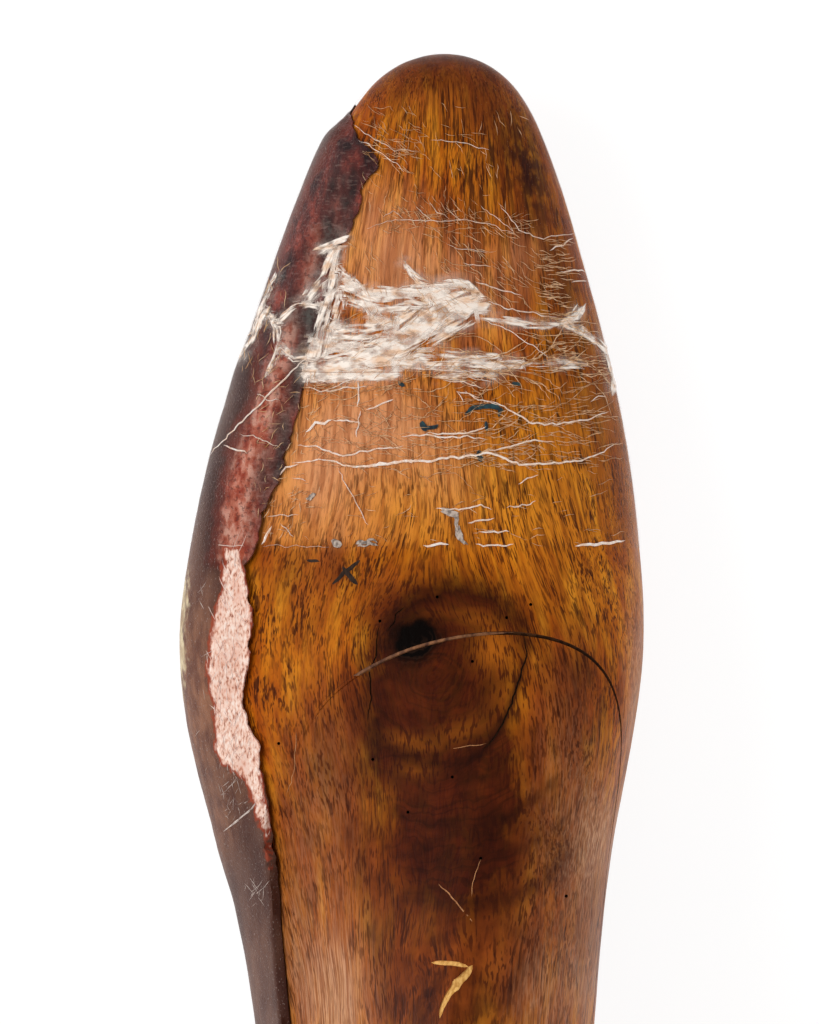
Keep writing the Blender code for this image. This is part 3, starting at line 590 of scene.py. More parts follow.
def sawn_hardwood():
    """Bare hardwood as a fine saw left it, dirty with age: brown, dull, with marks across the cut. Its colour
    is darker still as painted shade, so that the narrow saw cut shows dark.
    """
    finish, tree, shader = new_finish("sawn_hardwood", Specular_IOR_Level=0.2)
    place = in_millimetres(tree)
    marks = patches(tree, place, (40, 0.8, 0.8), (0.4, 0.0), (0.6, 1.0))
    dirt = patches(tree, place, (6, 9, 6), (0.35, 0.0), (0.6, 1.0), detail=5.0)
    pores = patches(tree, place, (0.7, 5, 0.7), (0.58, 0.0), (0.66, 1.0), detail=1.0)
    # The dark brown base is partly painted shade for the narrow saw cut
    colour = painted(
        tree, "#4E2E18", (marks, 0.4, "#2E190D"), (dirt, 0.7, "#26140B"), (pores, 0.7, "#1A0C06")
    )
    tree.links.new(colour, shader.inputs["Base Color"])
    bump = add(tree, "Bump", {"Height": marks, "Strength": 0.5, "Distance": 0.0003})
    tree.links.new(bump, shader.inputs["Normal"])
    tree.links.new(patches(tree, place, (3, 3, 3), (0.3, 0.7), (0.7, 0.95)), shader.inputs["Roughness"])
    return finish


def raw_wood(name, light, dark):
    """Wood bared by a tool, matt and a little fibrous."""
    finish, tree, shader = new_finish(name, Specular_IOR_Level=0.2, Roughness=0.8)
    place = in_millimetres(tree)
    fibres = patches(tree, place, (0.6, 2.4, 0.6), (0.4, 0.0), (0.62, 1.0))
    tree.links.new(painted(tree, light, (fibres, 0.7, dark)), shader.inputs["Base Color"])
    return finish


def worn_metal(name, bright, dull, roughness):
    """Handled metal: bright where it is rubbed, with dull patches of tarnish or rust."""
    finish, tree, shader = new_finish(name, Metallic=0.9)
    place = in_millimetres(tree)
    tarnish = patches(tree, place, (2.5, 2.5, 2.5), (0.42, 0.0), (0.62, 1.0), detail=6.0)
    pits = patches(tree, place, (0.5, 0.5, 0.5), (0.6, 0.0), (0.68, 1.0), detail=2.0)
    colour = painted(tree, bright, (tarnish, 0.85, dull), (pits, 0.6, "#2A1F18"))
    tree.links.new(colour, shader.inputs["Base Color"])
    rough = add(tree, "MapRange", {0: tarnish, 3: roughness, 4: min(1.0, roughness + 0.35)})
    tree.links.new(rough, shader.inputs["Roughness"])
    bump = add(tree, "Bump", {"Height": pits, "Strength": 0.4, "Distance": 0.00015})
    bump.node.invert = True
    tree.links.new(bump, shader.inputs["Normal"])
    return finish


LEATHER_TONES = ("bare", "stained", "rosy", "slate", "rubbed", "shaded", "browned")


def grained_leather():
    """Dark dyed bend leather: satin aubergine grain with fine creases and a rubbed cream edge. Where it is
    skived its fibres are raw and pinkish white, with a red-brown rim, and stained red under the tape."""
    finish, tree, shader = new_finish("grained_leather", Specular_IOR_Level=0.16)
    place = in_millimetres(tree)
    tone = {name: add(tree, "Attribute", attribute_name=name).node.outputs["Fac"] for name in LEATHER_TONES}
    colour = patches(
        tree, place, (7, 18, 7), (0.32, "#3E241E"), (0.5, "#553830"), (0.68, "#6E5044"), detail=5.0
    )
    tan = patches(tree, place, (2, 6, 2), (0.4, "#6E4434"), (0.62, "#9A6A50"), detail=5.0)
    cream = patches(tree, place, (1.5, 4, 1.5), (0.4, "#A98A68"), (0.6, "#E0CDA6"))
    rag = patches(tree, place, (1.3, 2.6, 1.3), detail=6.0)
    rubbed = ragged(tree, tone["rubbed"], rag, 2.4, 0.05, 0.6)
    specks = patches(tree, place, (0.35, 0.5, 0.35), (0.66, 0.0), (0.72, 1.0), detail=1.0)
    seam = ragged(tree, tone["stained"], rag, 4.0, -2.6, -0.4)
    colour = painted(
        tree, colour,
        (tone["browned"], 0.85, tan),
        (tone["shaded"], 0.85, "#361A16"),
        (seam, 0.7, "#6E2C20"),
        (rubbed, 0.9, cream),
        (specks, 0.5, "#A08E86"),
    )

    dyed = patches(
        tree, place, (3, 8, 3), (0.36, "#24171A"), (0.46, "#42201F"), (0.55, "#5C2A26"), (0.66, "#8A3E32"),
        detail=5.0,
    )
    flushed = patches(
        tree, place, (1.6, 3, 1.6), (0.36, "#963A26"), (0.5, "#BE6C54"), (0.62, "#DCA18C"), detail=6.0
    )
    grit = patches(tree, place, (0.8, 0.8, 0.8), (0.56, 0.0), (0.62, 1.0), detail=3.0)
    mould = patches(tree, place, (2, 3, 2), (0.4, "#2C2B29"), (0.6, "#565550"), detail=4.0)
    wrinkles = patches(tree, place, (1.4, 0.5, 1.4), (0.55, 0.0), (0.64, 1.0), detail=4.0)
    dyed = painted(
        tree, dyed,
        (tone["rosy"], 0.9, flushed),
        (tone["slate"], 0.85, mould),
        (wrinkles, 0.12, "#C4A49A"),
        (grit, 0.55, "#3F1D1C"),
    )
    stained = ragged(tree, tone["stained"], rag, 4.0, -0.6, 0.6)
    colour = painted(tree, colour, (stained, 0.96, dyed))

    fibres = patches(tree, place, (0.45, 1.1, 0.45), detail=5.0)
    fleshy = add(tree, "ValToRGB", {"Fac": fibres}, (
        (0.32, "#9C6150"), (0.41, "#E2B09A"), (0.5, "#F4D0BE"), (0.66, "#FBE6DA"),
    ))
    blush = patches(tree, place, (3, 7, 3), (0.46, 0.0), (0.64, 1.0))
    fleshy = painted(tree, fleshy, (blush, 0.35, "#D98F72"))
    rim = ragged(tree, tone["bare"], rag, 3.0, -0.1, 0.25)
    bare = ragged(tree, tone["bare"], rag, 3.0, 0.45, 1.0)
    colour = painted(tree, colour, (rim, 0.85, "#9C4630"), (bare, 1.0, fleshy))
    tree.links.new(colour, shader.inputs["Base Color"])

    cells = add(tree, "TexVoronoi", {"Vector": place, "Scale": 1.1}, feature="DISTANCE_TO_EDGE")
    pebbles = add(tree, "MapRange", {0: cells, 1: 0.0, 2: 0.12})
    relief = painted(tree, pebbles, (rim, 1.0, fibres))
    bump = add(tree, "Bump", {"Height": relief, "Strength": 0.35, "Distance": 0.0003})
    tree.links.new(bump, shader.inputs["Normal"])
    tree.links.new(add(tree, "MapRange", {0: rim, 3: 0.4, 4: 0.85}), shader.inputs["Roughness"])
    return finish


def clear_tape():
    """Old cellulose tape: a clear film with a faint haze, milky and pinkish white where it has crinkled and
    let air under it. Towards its silhouettes more white film shows, a painted sheen."""
    finish, tree, shader = new_finish("clear_tape", Roughness=0.25)
    place = in_millimetres(tree)
    crinkled = add(tree, "Attribute", attribute_name="crinkled").node.outputs["Fac"]
    strokes = add(tree, "Attribute", attribute_name="strokes").node.outputs["Vector"]
    milk = patches(tree, place, (3, 1.6, 3), (0.32, "#F2CBAB"), (0.5, "#FFF1E4"), detail=2.0)
    folds = patches(tree, strokes, (0.3, 6, 1), (0.57, 0.0), (0.63, 1.0), detail=2.0)
    tree.links.new(painted(tree, milk, (folds, 0.4, "#BC8A60")), shader.inputs["Base Color"])
    mottle = patches(tree, place, (3, 2, 3), (0.37, 0.25), (0.5, 1.0), detail=5.0)
    fray = patches(tree, strokes, (0.9, 6, 1), detail=5.0)
    milky = ragged(tree, crinkled, fray, 5.0, -0.4, 0.25)
    milky = add(tree, "Math", {0: milky, 1: mottle}, operation="MULTIPLY")
    near = add(tree, "MapRange", {0: crinkled, 1: -2.0, 2: 0.5})
    veil = patches(tree, place, (5, 3, 5), (0.42, 0.0), (0.65, 0.2), detail=5.0)
    veil = add(tree, "Math", {0: near, 1: veil}, operation="MULTIPLY")
    # Towards the silhouettes more of the white film shows: a painted sheen
    facing = add(tree, "LayerWeight", {"Blend": 0.25}).node.outputs["Facing"]
    grazing_sheen = add(tree, "Math", {0: facing, 1: 4.0}, operation="POWER")
    film = add(tree, "Math", {0: grazing_sheen, 1: 0.25, 2: 0.001}, operation="MULTIPLY_ADD")
    film = add(tree, "Math", {0: film, 1: veil}, operation="ADD")
    share = add(tree, "Math", {0: milky, 1: 0.95, 2: film}, operation="MULTIPLY_ADD", use_clamp=True)
    clear = add(tree, "BsdfTransparent")
    mixed = add(tree, "MixShader", {0: share, 1: clear, 2: shader.outputs[0]})
    tree.links.new(mixed, tree.nodes["Material Output"].inputs["Surface"])
    return finish


def tinted(name, light, dark, roughness=0.5, size=1.0):
    """A matt or satin finish whose tone varies a little from place to place."""
    finish, tree, shader = new_finish(name, Roughness=roughness)
    place = in_millimetres(tree)
    tone = patches(tree, place, (size, size * 1.6, size), (0.35, dark), (0.62, light))
    tree.links.new(tone, shader.inputs["Base Color"])
    return finish


def white_paper():
    """Background paper that shows pure white to the camera, but for the object's shadow."""
    finish, tree, shader = new_finish("white_paper", Roughness=1.0, Specular_IOR_Level=0.0)
    rays = add(tree, "LightPath").node.outputs
    seen = add(tree, "Math", {0: rays["Is Camera Ray"], 1: rays["Is Glossy Ray"]}, operation="MAXIMUM")
    seen = add(tree, "Math", {0: seen, 1: rays["Is Transmission Ray"]}, operation="MAXIMUM")
    colour = painted(tree, "#E8E8E8", (seen, 1.0, "#939393"))
    tree.links.new(colour, shader.inputs["Base Color"])
    strength = add(tree, "Math", {0: seen, 1: 0.84}, operation="MULTIPLY")
    glow = add(tree, "Emission", {"Strength": strength})
    both = add(tree, "AddShader", {0: shader.outputs[0], 1: glow})
    tree.links.new(both, tree.nodes["Material Output"].inputs["Surface"])
    return finish


# Values recorded on the pieces, which the materials turn into stains, wear, painted sheen and painted shade


def closed_outline_depth(points, outline):
    """How deep inside a closed outline each point lies, in millimetres; negative outside."""
    outline = np.array(outline, float)
    nearest = np.full(len(points), 1e9)
    inside = np.zeros(len(points), bool)
    for a, b in zip(outline, np.roll(outline, -1, axis=0)):
        along = b - a
        share = np.clip(((points - a) @ along) / (along @ along), 0, 1)
        nearest = np.minimum(nearest, np.linalg.norm(points - a - share[:, None] * along, axis=1))
        crosses = (a[1] > points[:, 1]) != (b[1] > points[:, 1])
        rise = b[1] - a[1] if b[1] != a[1] else 1e-9
        inside ^= crosses & (points[:, 0] < (points[:, 1] - a[1]) / rise * (b[0] - a[0]) + a[0])
    return np.where(inside, nearest, -nearest)


def stroke_depth(points, strokes):
    """How deep inside the widest of some strokes each point lies; a stroke is (half width, points)."""
    depth = np.full(len(points), -1e3)
    for half_width, line in strokes:
        line = np.array(line, float)
        for a, b in zip(line, line[1:]):
            along = b - a
            share = np.clip(((points - a) @ along) / (along @ along), 0, 1)
            distance = np.linalg.norm(points - a - share[:, None] * along, axis=1)
            depth = np.maximum(depth, half_width - distance)
    return depth


def soft_spots(points, spots):
    """A sum of soft spots: (x, y, half width, half length, turn in degrees, strength)."""
    total = np.zeros(len(points))
    for x, y, wide, long, turn, strength in spots:
        c, s = cos(radians(turn)), sin(radians(turn))
        across = ((points[:, 0] - x) * c + (points[:, 1] - y) * s) / wide
        along = ((points[:, 1] - y) * c - (points[:, 0] - x) * s) / long
        total += strength * np.exp(-(across**2 + along**2))
    return np.clip(total, 0, 1)


def soft_lines(points, lines):
    """The strongest of some soft lines at each point: (half width, strength, points along it)."""
    most = np.zeros(len(points))
    for half_width, strength, line in lines:
        depth = stroke_depth(points, ((0, line),))
        most = np.maximum(most, strength * np.exp(-((depth / half_width) ** 2)))
    return most


def stroke_places(points, strokes):
    """Places counted across and along the stroke that each point lies deepest in."""
    depth = np.full(len(points), -1e3)
    found = np.zeros((len(points), 3))
    for number, (half_width, line) in enumerate(strokes):
        line = np.array(line, float)
        passed = 0.0
        for a, b in zip(line, line[1:]):
            along = b - a
            length = np.linalg.norm(along)
            ahead = (points - a) @ along / length
            aside = ((points - a) @ np.array((-along[1], along[0]))) / length
            share = np.clip(ahead / length, 0, 1)
            here = half_width - np.linalg.norm(points - a - share[:, None] * along, axis=1)
            deeper = here > depth
            place = np.stack([aside, passed + ahead, np.full(len(points), 7.0 * number)], axis=1)
            found[deeper] = place[deeper]
            depth = np.maximum(depth, here)
            passed += length
    return found


def places_of(piece):
    places = np.empty(len(piece.data.vertices) * 3)
    piece.data.vertices.foreach_get("co", places)
    return places.reshape(-1, 3) / MM


def record_values(piece, **values):
    """Stores a value for each vertex under each name."""
    for name, value in values.items():
        made = piece.data.attributes.new(name, "FLOAT", "POINT")
        made.data.foreach_set("value", np.asarray(value, np.float32))


def record_places(piece, name, places):
    """Stores a place for each vertex, for a pattern that is laid another way than the piece."""
    made = piece.data.attributes.new(name, "FLOAT_VECTOR", "POINT")
    made.data.foreach_set("vector", places.astype(np.float32).ravel())


def ramp(values, start, over):
    """0 below start, rising to 1 over the given distance, or falling from 1 over a negative one."""
    return np.clip((values - start) / over, 0, 1)


def upper(places):
    """1 on the upper side, fading to 0 at the widest line."""
    return ramp(places[:, 2], 14, 8)


# Outline of the dark heartwood, seen from above
HEARTWOOD = (
    (-9.5, 146), (-6, 151), (0, 154), (8, 155.5), (16, 153), (20.5, 147), (20.5, 140), (19, 131), (21, 120),
    (22, 109), (22, 100), (19, 92), (13, 87.5), (5, 86.5), (-1.5, 88.5), (-5, 94), (-6.5, 102), (-8, 109),
    (-11.5, 115), (-13, 124), (-11.5, 134),
)

# Stains, wear and darker places, and pale patches of painted sheen: (x, y, half width, half length, turn,
# strength)
SPOTS = {
    "golden": (
        (3.4, 249, 7, 5, 0, 0.6), (-9, 234, 3, 5, 0, 0.5), (13, 230, 3.5, 8, 10, 0.5),
        (19, 172, 18, 11, 0, 0.7), (24, 188, 12, 8, 0, 0.5), (24.5, 155, 8, 7, 0, 0.4),
        (-21.4, 147, 8, 12, 0, 0.35), (-27.5, 88, 1.5, 12, 0, 0.7), (-6, 208, 5, 5, 0, 0.4),
        (33, 152, 4, 8, 0, 0.5), (2, 172, 16, 9, 0, 0.5),
    ),
    # pale pinkish patches of painted sheen, partly a haze of the tape over them
    "haze_and_sheen": (
        (-5, 216, 12, 9, 0, 0.95), (10, 210, 10, 9, 0, 0.5), (-9, 186, 11, 9, 0, 0.9),
        (1, 180, 8, 8, 0, 0.4), (-20, 176, 8, 12, 0, 0.75), (6, 174, 7, 8, 0, 0.3),
        (-8, 228, 8, 7, 0, 0.5), (21, 219, 5, 6, 0, 0.5),
    ),
    "russet": (
        (5, 259, 20, 9, 0, 1), (14, 246, 8, 10, 20, 0.75), (34, 196, 6, 26, 14, 0.7),
        (40, 172, 3, 16, 6, 0.4), (-5, 251, 7, 6, 0, 0.5), (-8, 152, 7, 7, 0, 0.75),
        (-15.5, 119, 6, 15, 0, 1.1), (-24, 108, 6, 24, 0, 0.7), (27, 133, 7, 17, 0, 0.85),
        (34, 133, 5, 12, 0, 0.6), (29, 106, 7, 18, -6, 0.75), (6, 78, 15, 13, 0, 1.1),
        (-4, 84, 7, 10, 0, 0.9), (18, 80, 7, 12, 0, 0.8), (-25, 78, 4, 18, 0, 0.6),
        (33, 84, 5, 16, -8, 0.8), (2, 158, 5, 3, 0, 0.5), (-12, 98, 7, 10, 0, 0.7),
        (1, 71, 8, 13, 0, 1.1),
    ),
    "streaky": (
        (10, 240, 14, 16, 0, 1), (14, 212, 22, 20, 0, 0.4), (20, 168, 14, 14, 0, 0.5),
        (34, 130, 8, 20, 0, 0.5), (30, 80, 10, 20, 0, 0.6), (-26, 130, 8, 30, 0, 0.25),
    ),
    # rubbed varnish, and pale painted sheen at the waist and on the right flank
    "wear_and_sheen": (
        (-16.5, 71, 6, 13, 3, 1.15), (-25, 76, 3.5, 16, 4, 0.35), (24, 72, 5, 10, -12, 0.5),
        (35, 102, 5, 13, -8, 0.95), (33, 74, 5, 12, -10, 0.5), (43.5, 125, 2.4, 34, 0, 0.8),
        (27, 108, 6, 20, -6, 0.28), (-20, 102, 8, 24, 0, 0.22),
    ),
    "deep": (
        (21, 236, 5.5, 14, 16, 1), (28, 214, 3, 13, 12, 0.5), (5, 263, 22, 6, 0, 0.8),
        (1, 72, 8, 13, 0, 0.5), (-9, 136, 3, 6, 0, 0.4), (-16, 121, 4, 9, 0, 0.2),
        (41, 195, 3, 18, 14, 0.4), (28, 104, 5, 9, 0, 0.25), (3, 122, 12, 3, 0, 0.1),
        (-4.5, 115, 4, 3, 0, 0.5), (16, 107, 5, 3, 0, 0.4), (6, 99, 15, 9, 0, 0.3),
        (-11, 102, 5, 12, 0, 0.25), (1.6, 71, 1.6, 5, -12, 0.6),
    ),
    "amber": (
        (15, 140.4, 4.2, 4.2, 0, 0.9), (11, 146.6, 4, 1.6, -10, 0.4), (-2.5, 122, 5, 1.5, -14, 0.45),
        (-1.4, 116.4, 4, 1.6, 0, 0.4), (-6.4, 111.6, 2, 3, 0, 0.4), (22, 126, 2.5, 7, -8, 0.5),
        (8, 124, 6, 2, 20, 0.35), (17, 131, 3, 4, 0, 0.4), (2, 147, 5, 1.6, 12, 0.15),
    ),
}

# Rings and soft cracks in the heartwood, and a painted shadow under the tape's rear edge: (half width,
# strength, points)
DARK_LINES = (
    (1.7, 0.75, (
        (-7.4, 141), (-5.4, 147), (-1, 151), (5, 153), (11.5, 152.6), (16.5, 150.2), (20.3, 146), (21.2, 141),
    )),
    (0.75, 0.95, (
        (20.6, 143.8), (21.2, 140), (19.9, 134.8), (17.8, 128.5), (15.2, 123.5), (12, 119.6), (8, 117.4),
    )),
    (1.6, 0.6, ((-10.6, 138), (-11, 129), (-8.6, 123), (-5, 119.6), (1, 117.8), (7, 117.4))),
    (1.2, 0.65, ((-9.6, 112), (-4, 107.6), (2, 105.4), (9, 105), (15, 106.2), (21, 109.4), (26.4, 114))),
    (1.0, 0.6, ((-13, 107), (-8.6, 102.4), (-3.6, 99.6), (6, 98), (15.6, 99.3), (24.5, 103), (29, 107))),
    (1.8, 0.65, ((-10, 95), (-4, 91.4), (4, 90), (12, 90), (19, 91.4), (25, 95), (29, 100))),
    (0.7, 0.5, ((-8.4, 144), (-9.2, 136), (-9.8, 126), (-9.4, 119))),
    # A painted shadow along the tape's rear edge
    (0.5, 0.4, ((-33, 160), (-20, 160.1), (-8, 160), (8, 160.2))),
)

# The tape's first band has kept the wood bright, more so on the lateral side. Behind it the wood is dull
BRIGHT_TO, BRIGHT_FADE = 196, 8
BRIGHT_GOLD, LATERAL_GOLD, GOLD_FROM = 0.22, 0.3, 12
# A pale painted sheen under the first band, growing towards the lateral side
LATERAL_HAZE_AND_SHEEN, HAZE_AND_SHEEN_FROM = 0.25, 4
LATERAL_FADE = 16
DULL_BEHIND_TAPE = ((-20, 156, 14, 7, 0, 0.6), (-22, 146, 10, 12, 0, 0.25))

# The heartwood's rear part is shallower, and so its edge is more broken
SHALLOW_FROM, SHALLOW_OVER, SHALLOW_BY = 118, 15, 0.35
NO_HEARTWOOD = -30

# How the grain bends round the knot, spreads over a section and leans
KNOT_SPREAD, KNOT_CORE = 9, 70
GRAIN_WIDTH, GRAIN_HEIGHT = 40, 50
LEAN, LEAN_AT, LEAN_REACH = 0.34, 150, 30


def grain_places(places):
    """Millimetre coordinates in which the fibres run straight. They follow the last's outline, part
    round the knot and wander a little."""
    stations = steps(-HEEL_BACK, TOE_TIP_AT, 200)
    shapes = [section_at(run_of(y)) for y in stations]
    y = places[:, 1]
    medial, lateral, ridge = (
        np.interp(y, stations, [getattr(shape, field) for shape in shapes])
        for field in ("medial", "lateral", "ridge")
    )
    centre = 0.6 * (medial + lateral) / 2
    x = (places[:, 0] - centre) * GRAIN_WIDTH / (0.3 * (medial - lateral) + 0.4 * GRAIN_WIDTH)
    aside, ahead = places[:, 0] - KNOT_AT[0], y - KNOT_AT[1]
    near = KNOT_SPREAD**2 / (aside**2 + ahead**2 + KNOT_CORE)
    x -= aside * near * upper(places)
    leaning = np.clip((places[:, 0] - 2) / 20, -0.3, 1) * upper(places)
    x += LEAN * leaning * LEAN_REACH * np.tanh((y - LEAN_AT) / LEAN_REACH)
    wander = np.array([
        3 * noise.noise(Vector((a / 26, b / 55, c / 26))) + 0.7 * noise.noise(Vector((a / 7, b / 16, c / 7)))
        for a, b, c in places
    ])
    return np.stack([x + wander, y, places[:, 2] * GRAIN_HEIGHT / ridge + wander], axis=1)


def mark_wood(piece):
    places = places_of(piece)
    plan, top = places[:, :2], upper(places)
    spots = {name: soft_spots(plan, table) * top for name, table in SPOTS.items()}
    spots["deep"] = np.maximum(spots["deep"], soft_lines(plan, DARK_LINES) * top)
    x, y = plan.T
    taped = ramp(y, TAPE_REAR, 1)
    bright = taped * ramp(y, BRIGHT_TO, -BRIGHT_FADE) * top
    spots["golden"] += bright * (BRIGHT_GOLD + LATERAL_GOLD * ramp(x, GOLD_FROM, -LATERAL_FADE))
    spots["haze_and_sheen"] += bright * LATERAL_HAZE_AND_SHEEN * ramp(x, HAZE_AND_SHEEN_FROM, -LATERAL_FADE)
    dull = soft_spots(plan, DULL_BEHIND_TAPE) * (1 - taped) * top
    spots["russet"] = np.maximum(spots["russet"], dull)
    heart = closed_outline_depth(plan, HEARTWOOD)
    heart *= 1 - SHALLOW_BY * ramp(y, SHALLOW_FROM, -SHALLOW_OVER)
    record_values(piece, heart=heart * top + NO_HEARTWOOD * (1 - top), **spots)
    record_places(piece, "grain", grain_places(places))


# Pieces


# Dents and flats of the carved surface: (depth, size)
DENTS = ((0.09, 11), (0.04, 3.5))


def hand_worn(point):
    """How far a hand-carved, much-used surface stands out at a point."""
    return sum(depth * noise.noise(point / size) for depth, size in DENTS)


def carved_form():
    """The whole last before the saw cut, closed at heel, toe and sole, and cut flat at the cone top."""
    half = steps(-1, 0, 10) + steps(0, 1, 14)[1:] + steps(1, 2, 46)[1:]
    around = half + [4 - w for w in half[-2::-1]]
    form = bmesh.new()

    def point_at(run, w):
        point = lifted(run, w, 0)
        side, v = (-1, w) if w <= 2 else (1, 4 - w)
        ends = min(1.0, 8 * sin(run))
        return point + outward(run, side, v) * (hand_worn(point) * ends * smooth(point.z / 6))

    wrapped_grid(form, steps(0, pi, 300), around, point_at)
    merge(form, 0.002)
    everything = form.verts[:] + form.edges[:] + form.faces[:]
    bmesh.ops.bisect_plane(
        form, geom=everything, plane_co=(0, 0, CONE_TOP * MM), plane_no=(0, 0, 1), clear_outer=True
    )
    bmesh.ops.holes_fill(form, edges=[edge for edge in form.edges if edge.is_boundary])
    return form


def cylinder_across(y, z, radius, segments):
    form = bmesh.new()
    bmesh.ops.create_cone(
        form, cap_ends=True, segments=segments, radius1=radius * MM, radius2=radius * MM, depth=200 * MM,
        matrix=Matrix.Translation((0, y * MM, z * MM)) @ Matrix.Rotation(pi / 2, 4, "Y"),
    )
    return form


def turned(form, profile, at, segments=48):
    """Adds a solid of revolution about a vertical axis from (radius, height) points."""
    x, y = at
    verts = [form.verts.new(Vector((x + radius, y, height)) * MM) for radius, height in profile]
    edges = [form.edges.new(pair) for pair in zip(verts, verts[1:])]
    if profile[0][0] > 0:
        edges.append(form.edges.new((verts[-1], verts[0])))
    bmesh.ops.spin(
        form, geom=verts + edges, cent=(x * MM, y * MM, 0), axis=(0, 0, 1), angle=tau,
        steps=segments, use_merge=True,
    )


# Marks cut into the wood: (half width, points)
NUMERAL_BAR = (0.5, ((2.2, 78.5), (5, 78.5), (7.6, 78.3), (9.6, 77.75)))
NUMERAL_STEM = (
    0.8, ((10.4, 78.1), (9.2, 76.6), (8, 75.2), (6.8, 73.9), (5.7, 72.6), (4.8, 71), (4.2, 69.4), (3.9, 67.7))
)
CRACKS = (
    (0.15, (
        (-8, 145.2), (-8.4, 142.8), (-8.8, 138.8), (-9.9, 136), (-9.8, 132), (-9.9, 128.6), (-10.5, 125.6),
    )),
    (0.17, ((20.6, 143), (21.2, 140), (19.9, 134.8), (17.8, 128.5), (15.2, 123.5), (12.4, 120.2))),
    (0.13, ((-3, 148.8), (-4.8, 147.2), (-5.3, 145.2), (-6.8, 143.8))),
)
PIN_SHAPE = ((0, -2), (0.28, -1.6), (0.36, 1), (0, 1))
PIN_HOLES = (
    (-8, 145.9), (22, 149.2), (17.2, 146.6), (10.4, 137.9), (-28.2, 121.4), (29, 91.4), (12, 99), (6.4, 115),
    (-2.4, 108), (-9.4, 118.4), (3.4, 150.7),
)
SCRATCHES = (
    (0.096, ((-24.8, 124), (-24.9, 116.4), (-26.6, 111))),
    (0.12, ((3.6, 94), (6.4, 91.4), (8.4, 88.6), (10.6, 86))),
    (0.08, ((12, 99), (10.8, 95), (10, 91.4))),
    (0.072, ((6, 120.6), (10, 121.2), (13.2, 121.6))),
)
INK = (
    (0.5, ((8.8, 187), (11.6, 188.5), (14.3, 188.8), (16.2, 187.9), (15.5, 186.6))),
    (0.6, ((0.5, 185.8), (0.9, 183.6))),
    (0.4, ((0.9, 184.1), (3.6, 185.2))),
    (0.6, ((11.6, 180), (12.2, 177.5))),
    (0.35, ((13.2, 185.8), (13.3, 183.6))),
    (0.4, ((-4.6, 193.5), (-3.2, 192.4))),
    (0.4, ((18.2, 193.2), (20.1, 192.8))),
)
BURNT_CROSS = (
    (0.42, ((-17.6, 153.2), (-15.3, 155.3), (-11.9, 158.1))),
    (0.5, ((-15.6, 156.7), (-14.2, 155.1), (-12.4, 153.1))),
    (0.3, ((-22.7, 158.1), (-20, 157.7))),
)


def make_wood(hardwood):
    """The carved body and the instep block sawn out of it, with the holes of the metal parts."""
    sawn = sawn_hardwood()
    hollow = raw_wood("dirty_hollow", "#3A2415", "#1E110A")
    fresh = raw_wood("scored_wood", "#E6B468", "#B0742F")
    whole = carved_form()
    surface = BVHTree.FromBMesh(whole)
    body = placed("carved_body", whole.copy(), [hardwood])
    block = placed("scoop_block", whole, [hardwood])
    body_tool = placed("tool_body", cylinder_across(*CUT_AT, CUT_RADIUS + SAW_KERF / 2, 360), [sawn])
    block_tool = placed("tool_block", cylinder_across(*CUT_AT, CUT_RADIUS - SAW_KERF / 2, 360), [sawn])
    cut(body, body_tool)
    cut(block, block_tool, "INTERSECT")
    drill = bmesh.new()
    for at, profile in ((SCREW_AT, SCREW_HOLE), (THIMBLE_AT, THIMBLE_HOLE)):
        turned(drill, [(radius, CONE_TOP - depth) for radius, depth in profile], at)
    merge(drill, 0.0001)
    drill_tool = placed("tool_drill", drill, [hollow])
    marks = bmesh.new()
    half_width, line = NUMERAL_BAR
    lay(marks, surface, line, GROOVE, half_width, 0.5, 1, waver=0.15, pace=0.75)
    stem = bmesh.new()
    half_width, line = NUMERAL_STEM
    lay(stem, surface, line, GROOVE, half_width, 0.55, waver=0.15, pace=0.75)
    merge(stem, 0.0001)
    stem_tool = placed("tool_stem", stem, [fresh])
    for half_width, line in CRACKS:
        lay(marks, surface, line, GROOVE, half_width, 0.6, waver=0.35, pace=0.6)
    for hole in PIN_HOLES:
        place, _, _, _ = surface.ray_cast(Vector((*hole, ABOVE)) * MM, Vector((0, 0, -1)))
        height = place.z / MM
        turned(marks, [(radius, height + over) for radius, over in PIN_SHAPE], hole, 10)
    merge(marks, 0.0001)
    mark_tool = placed("tool_marks", marks, [hollow, fresh])
    hook_tool = placed("tool_hook", cylinder_across(HOOK_AT, HOOK_HEIGHT, HOOK_RADIUS, 64), [hollow])
    for tool in (drill_tool, mark_tool):
        cut(body, tool)
        cut(block, tool)
    cut(block, stem_tool)
    cut(body, hook_tool)
    for piece in (body, block):
        finished(piece)
        mark_wood(piece)
    for tool in (body_tool, block_tool, drill_tool, mark_tool, stem_tool, hook_tool):
        bpy.data.objects.remove(tool)
    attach(body, "last")
    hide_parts("last_body")
    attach(block, "block")
    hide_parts("instep_block")
    make_kerf_wax("kerf_wax", WAX_REAR, WAX_MIDDLE, hardwood)
    sawdust = tinted("wax_and_sawdust", "#8A5A38", "#4A2816", 0.55, 1.2)
    make_kerf_wax("kerf_sawdust", WAX_MIDDLE, WAX_FRONT, sawdust)
    scratches = bmesh.new()
    for half_width, line in SCRATCHES:
        lay(scratches, surface, line, RIDGE, half_width, 0.05, waver=0.4)
    scratched = raw_wood("scratched_shellac", "#B98256", "#7C4A2C")
    add_marks("pale_scratches", scratches, "block", scratched)
    cross = bmesh.new()
    for half_width, line in BURNT_CROSS:
        lay(cross, surface, line, DAUB, half_width, 0.06, waver=0.3, pace=0.5)
    scorched = raw_wood("scorched_wood", "#3A2C24", "#1C1410")
    add_marks("burnt_cross", cross, "last", scorched)


def add_marks(name, form, body, finish):
    merge(form, 0.0001)
    piece = placed(name, form, [finish], 60)
    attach(piece, body)


# Wax in the saw cut, from rear to front. From WAX_SHUT to WAX_OPEN it leaves hardly a line open
WAX_REAR, WAX_SHUT, WAX_OPEN, WAX_MIDDLE, WAX_FRONT = 58, 82, 124, 135, 143.7
SHUT_LINE, OPEN_LINE = 0.03, 0.16


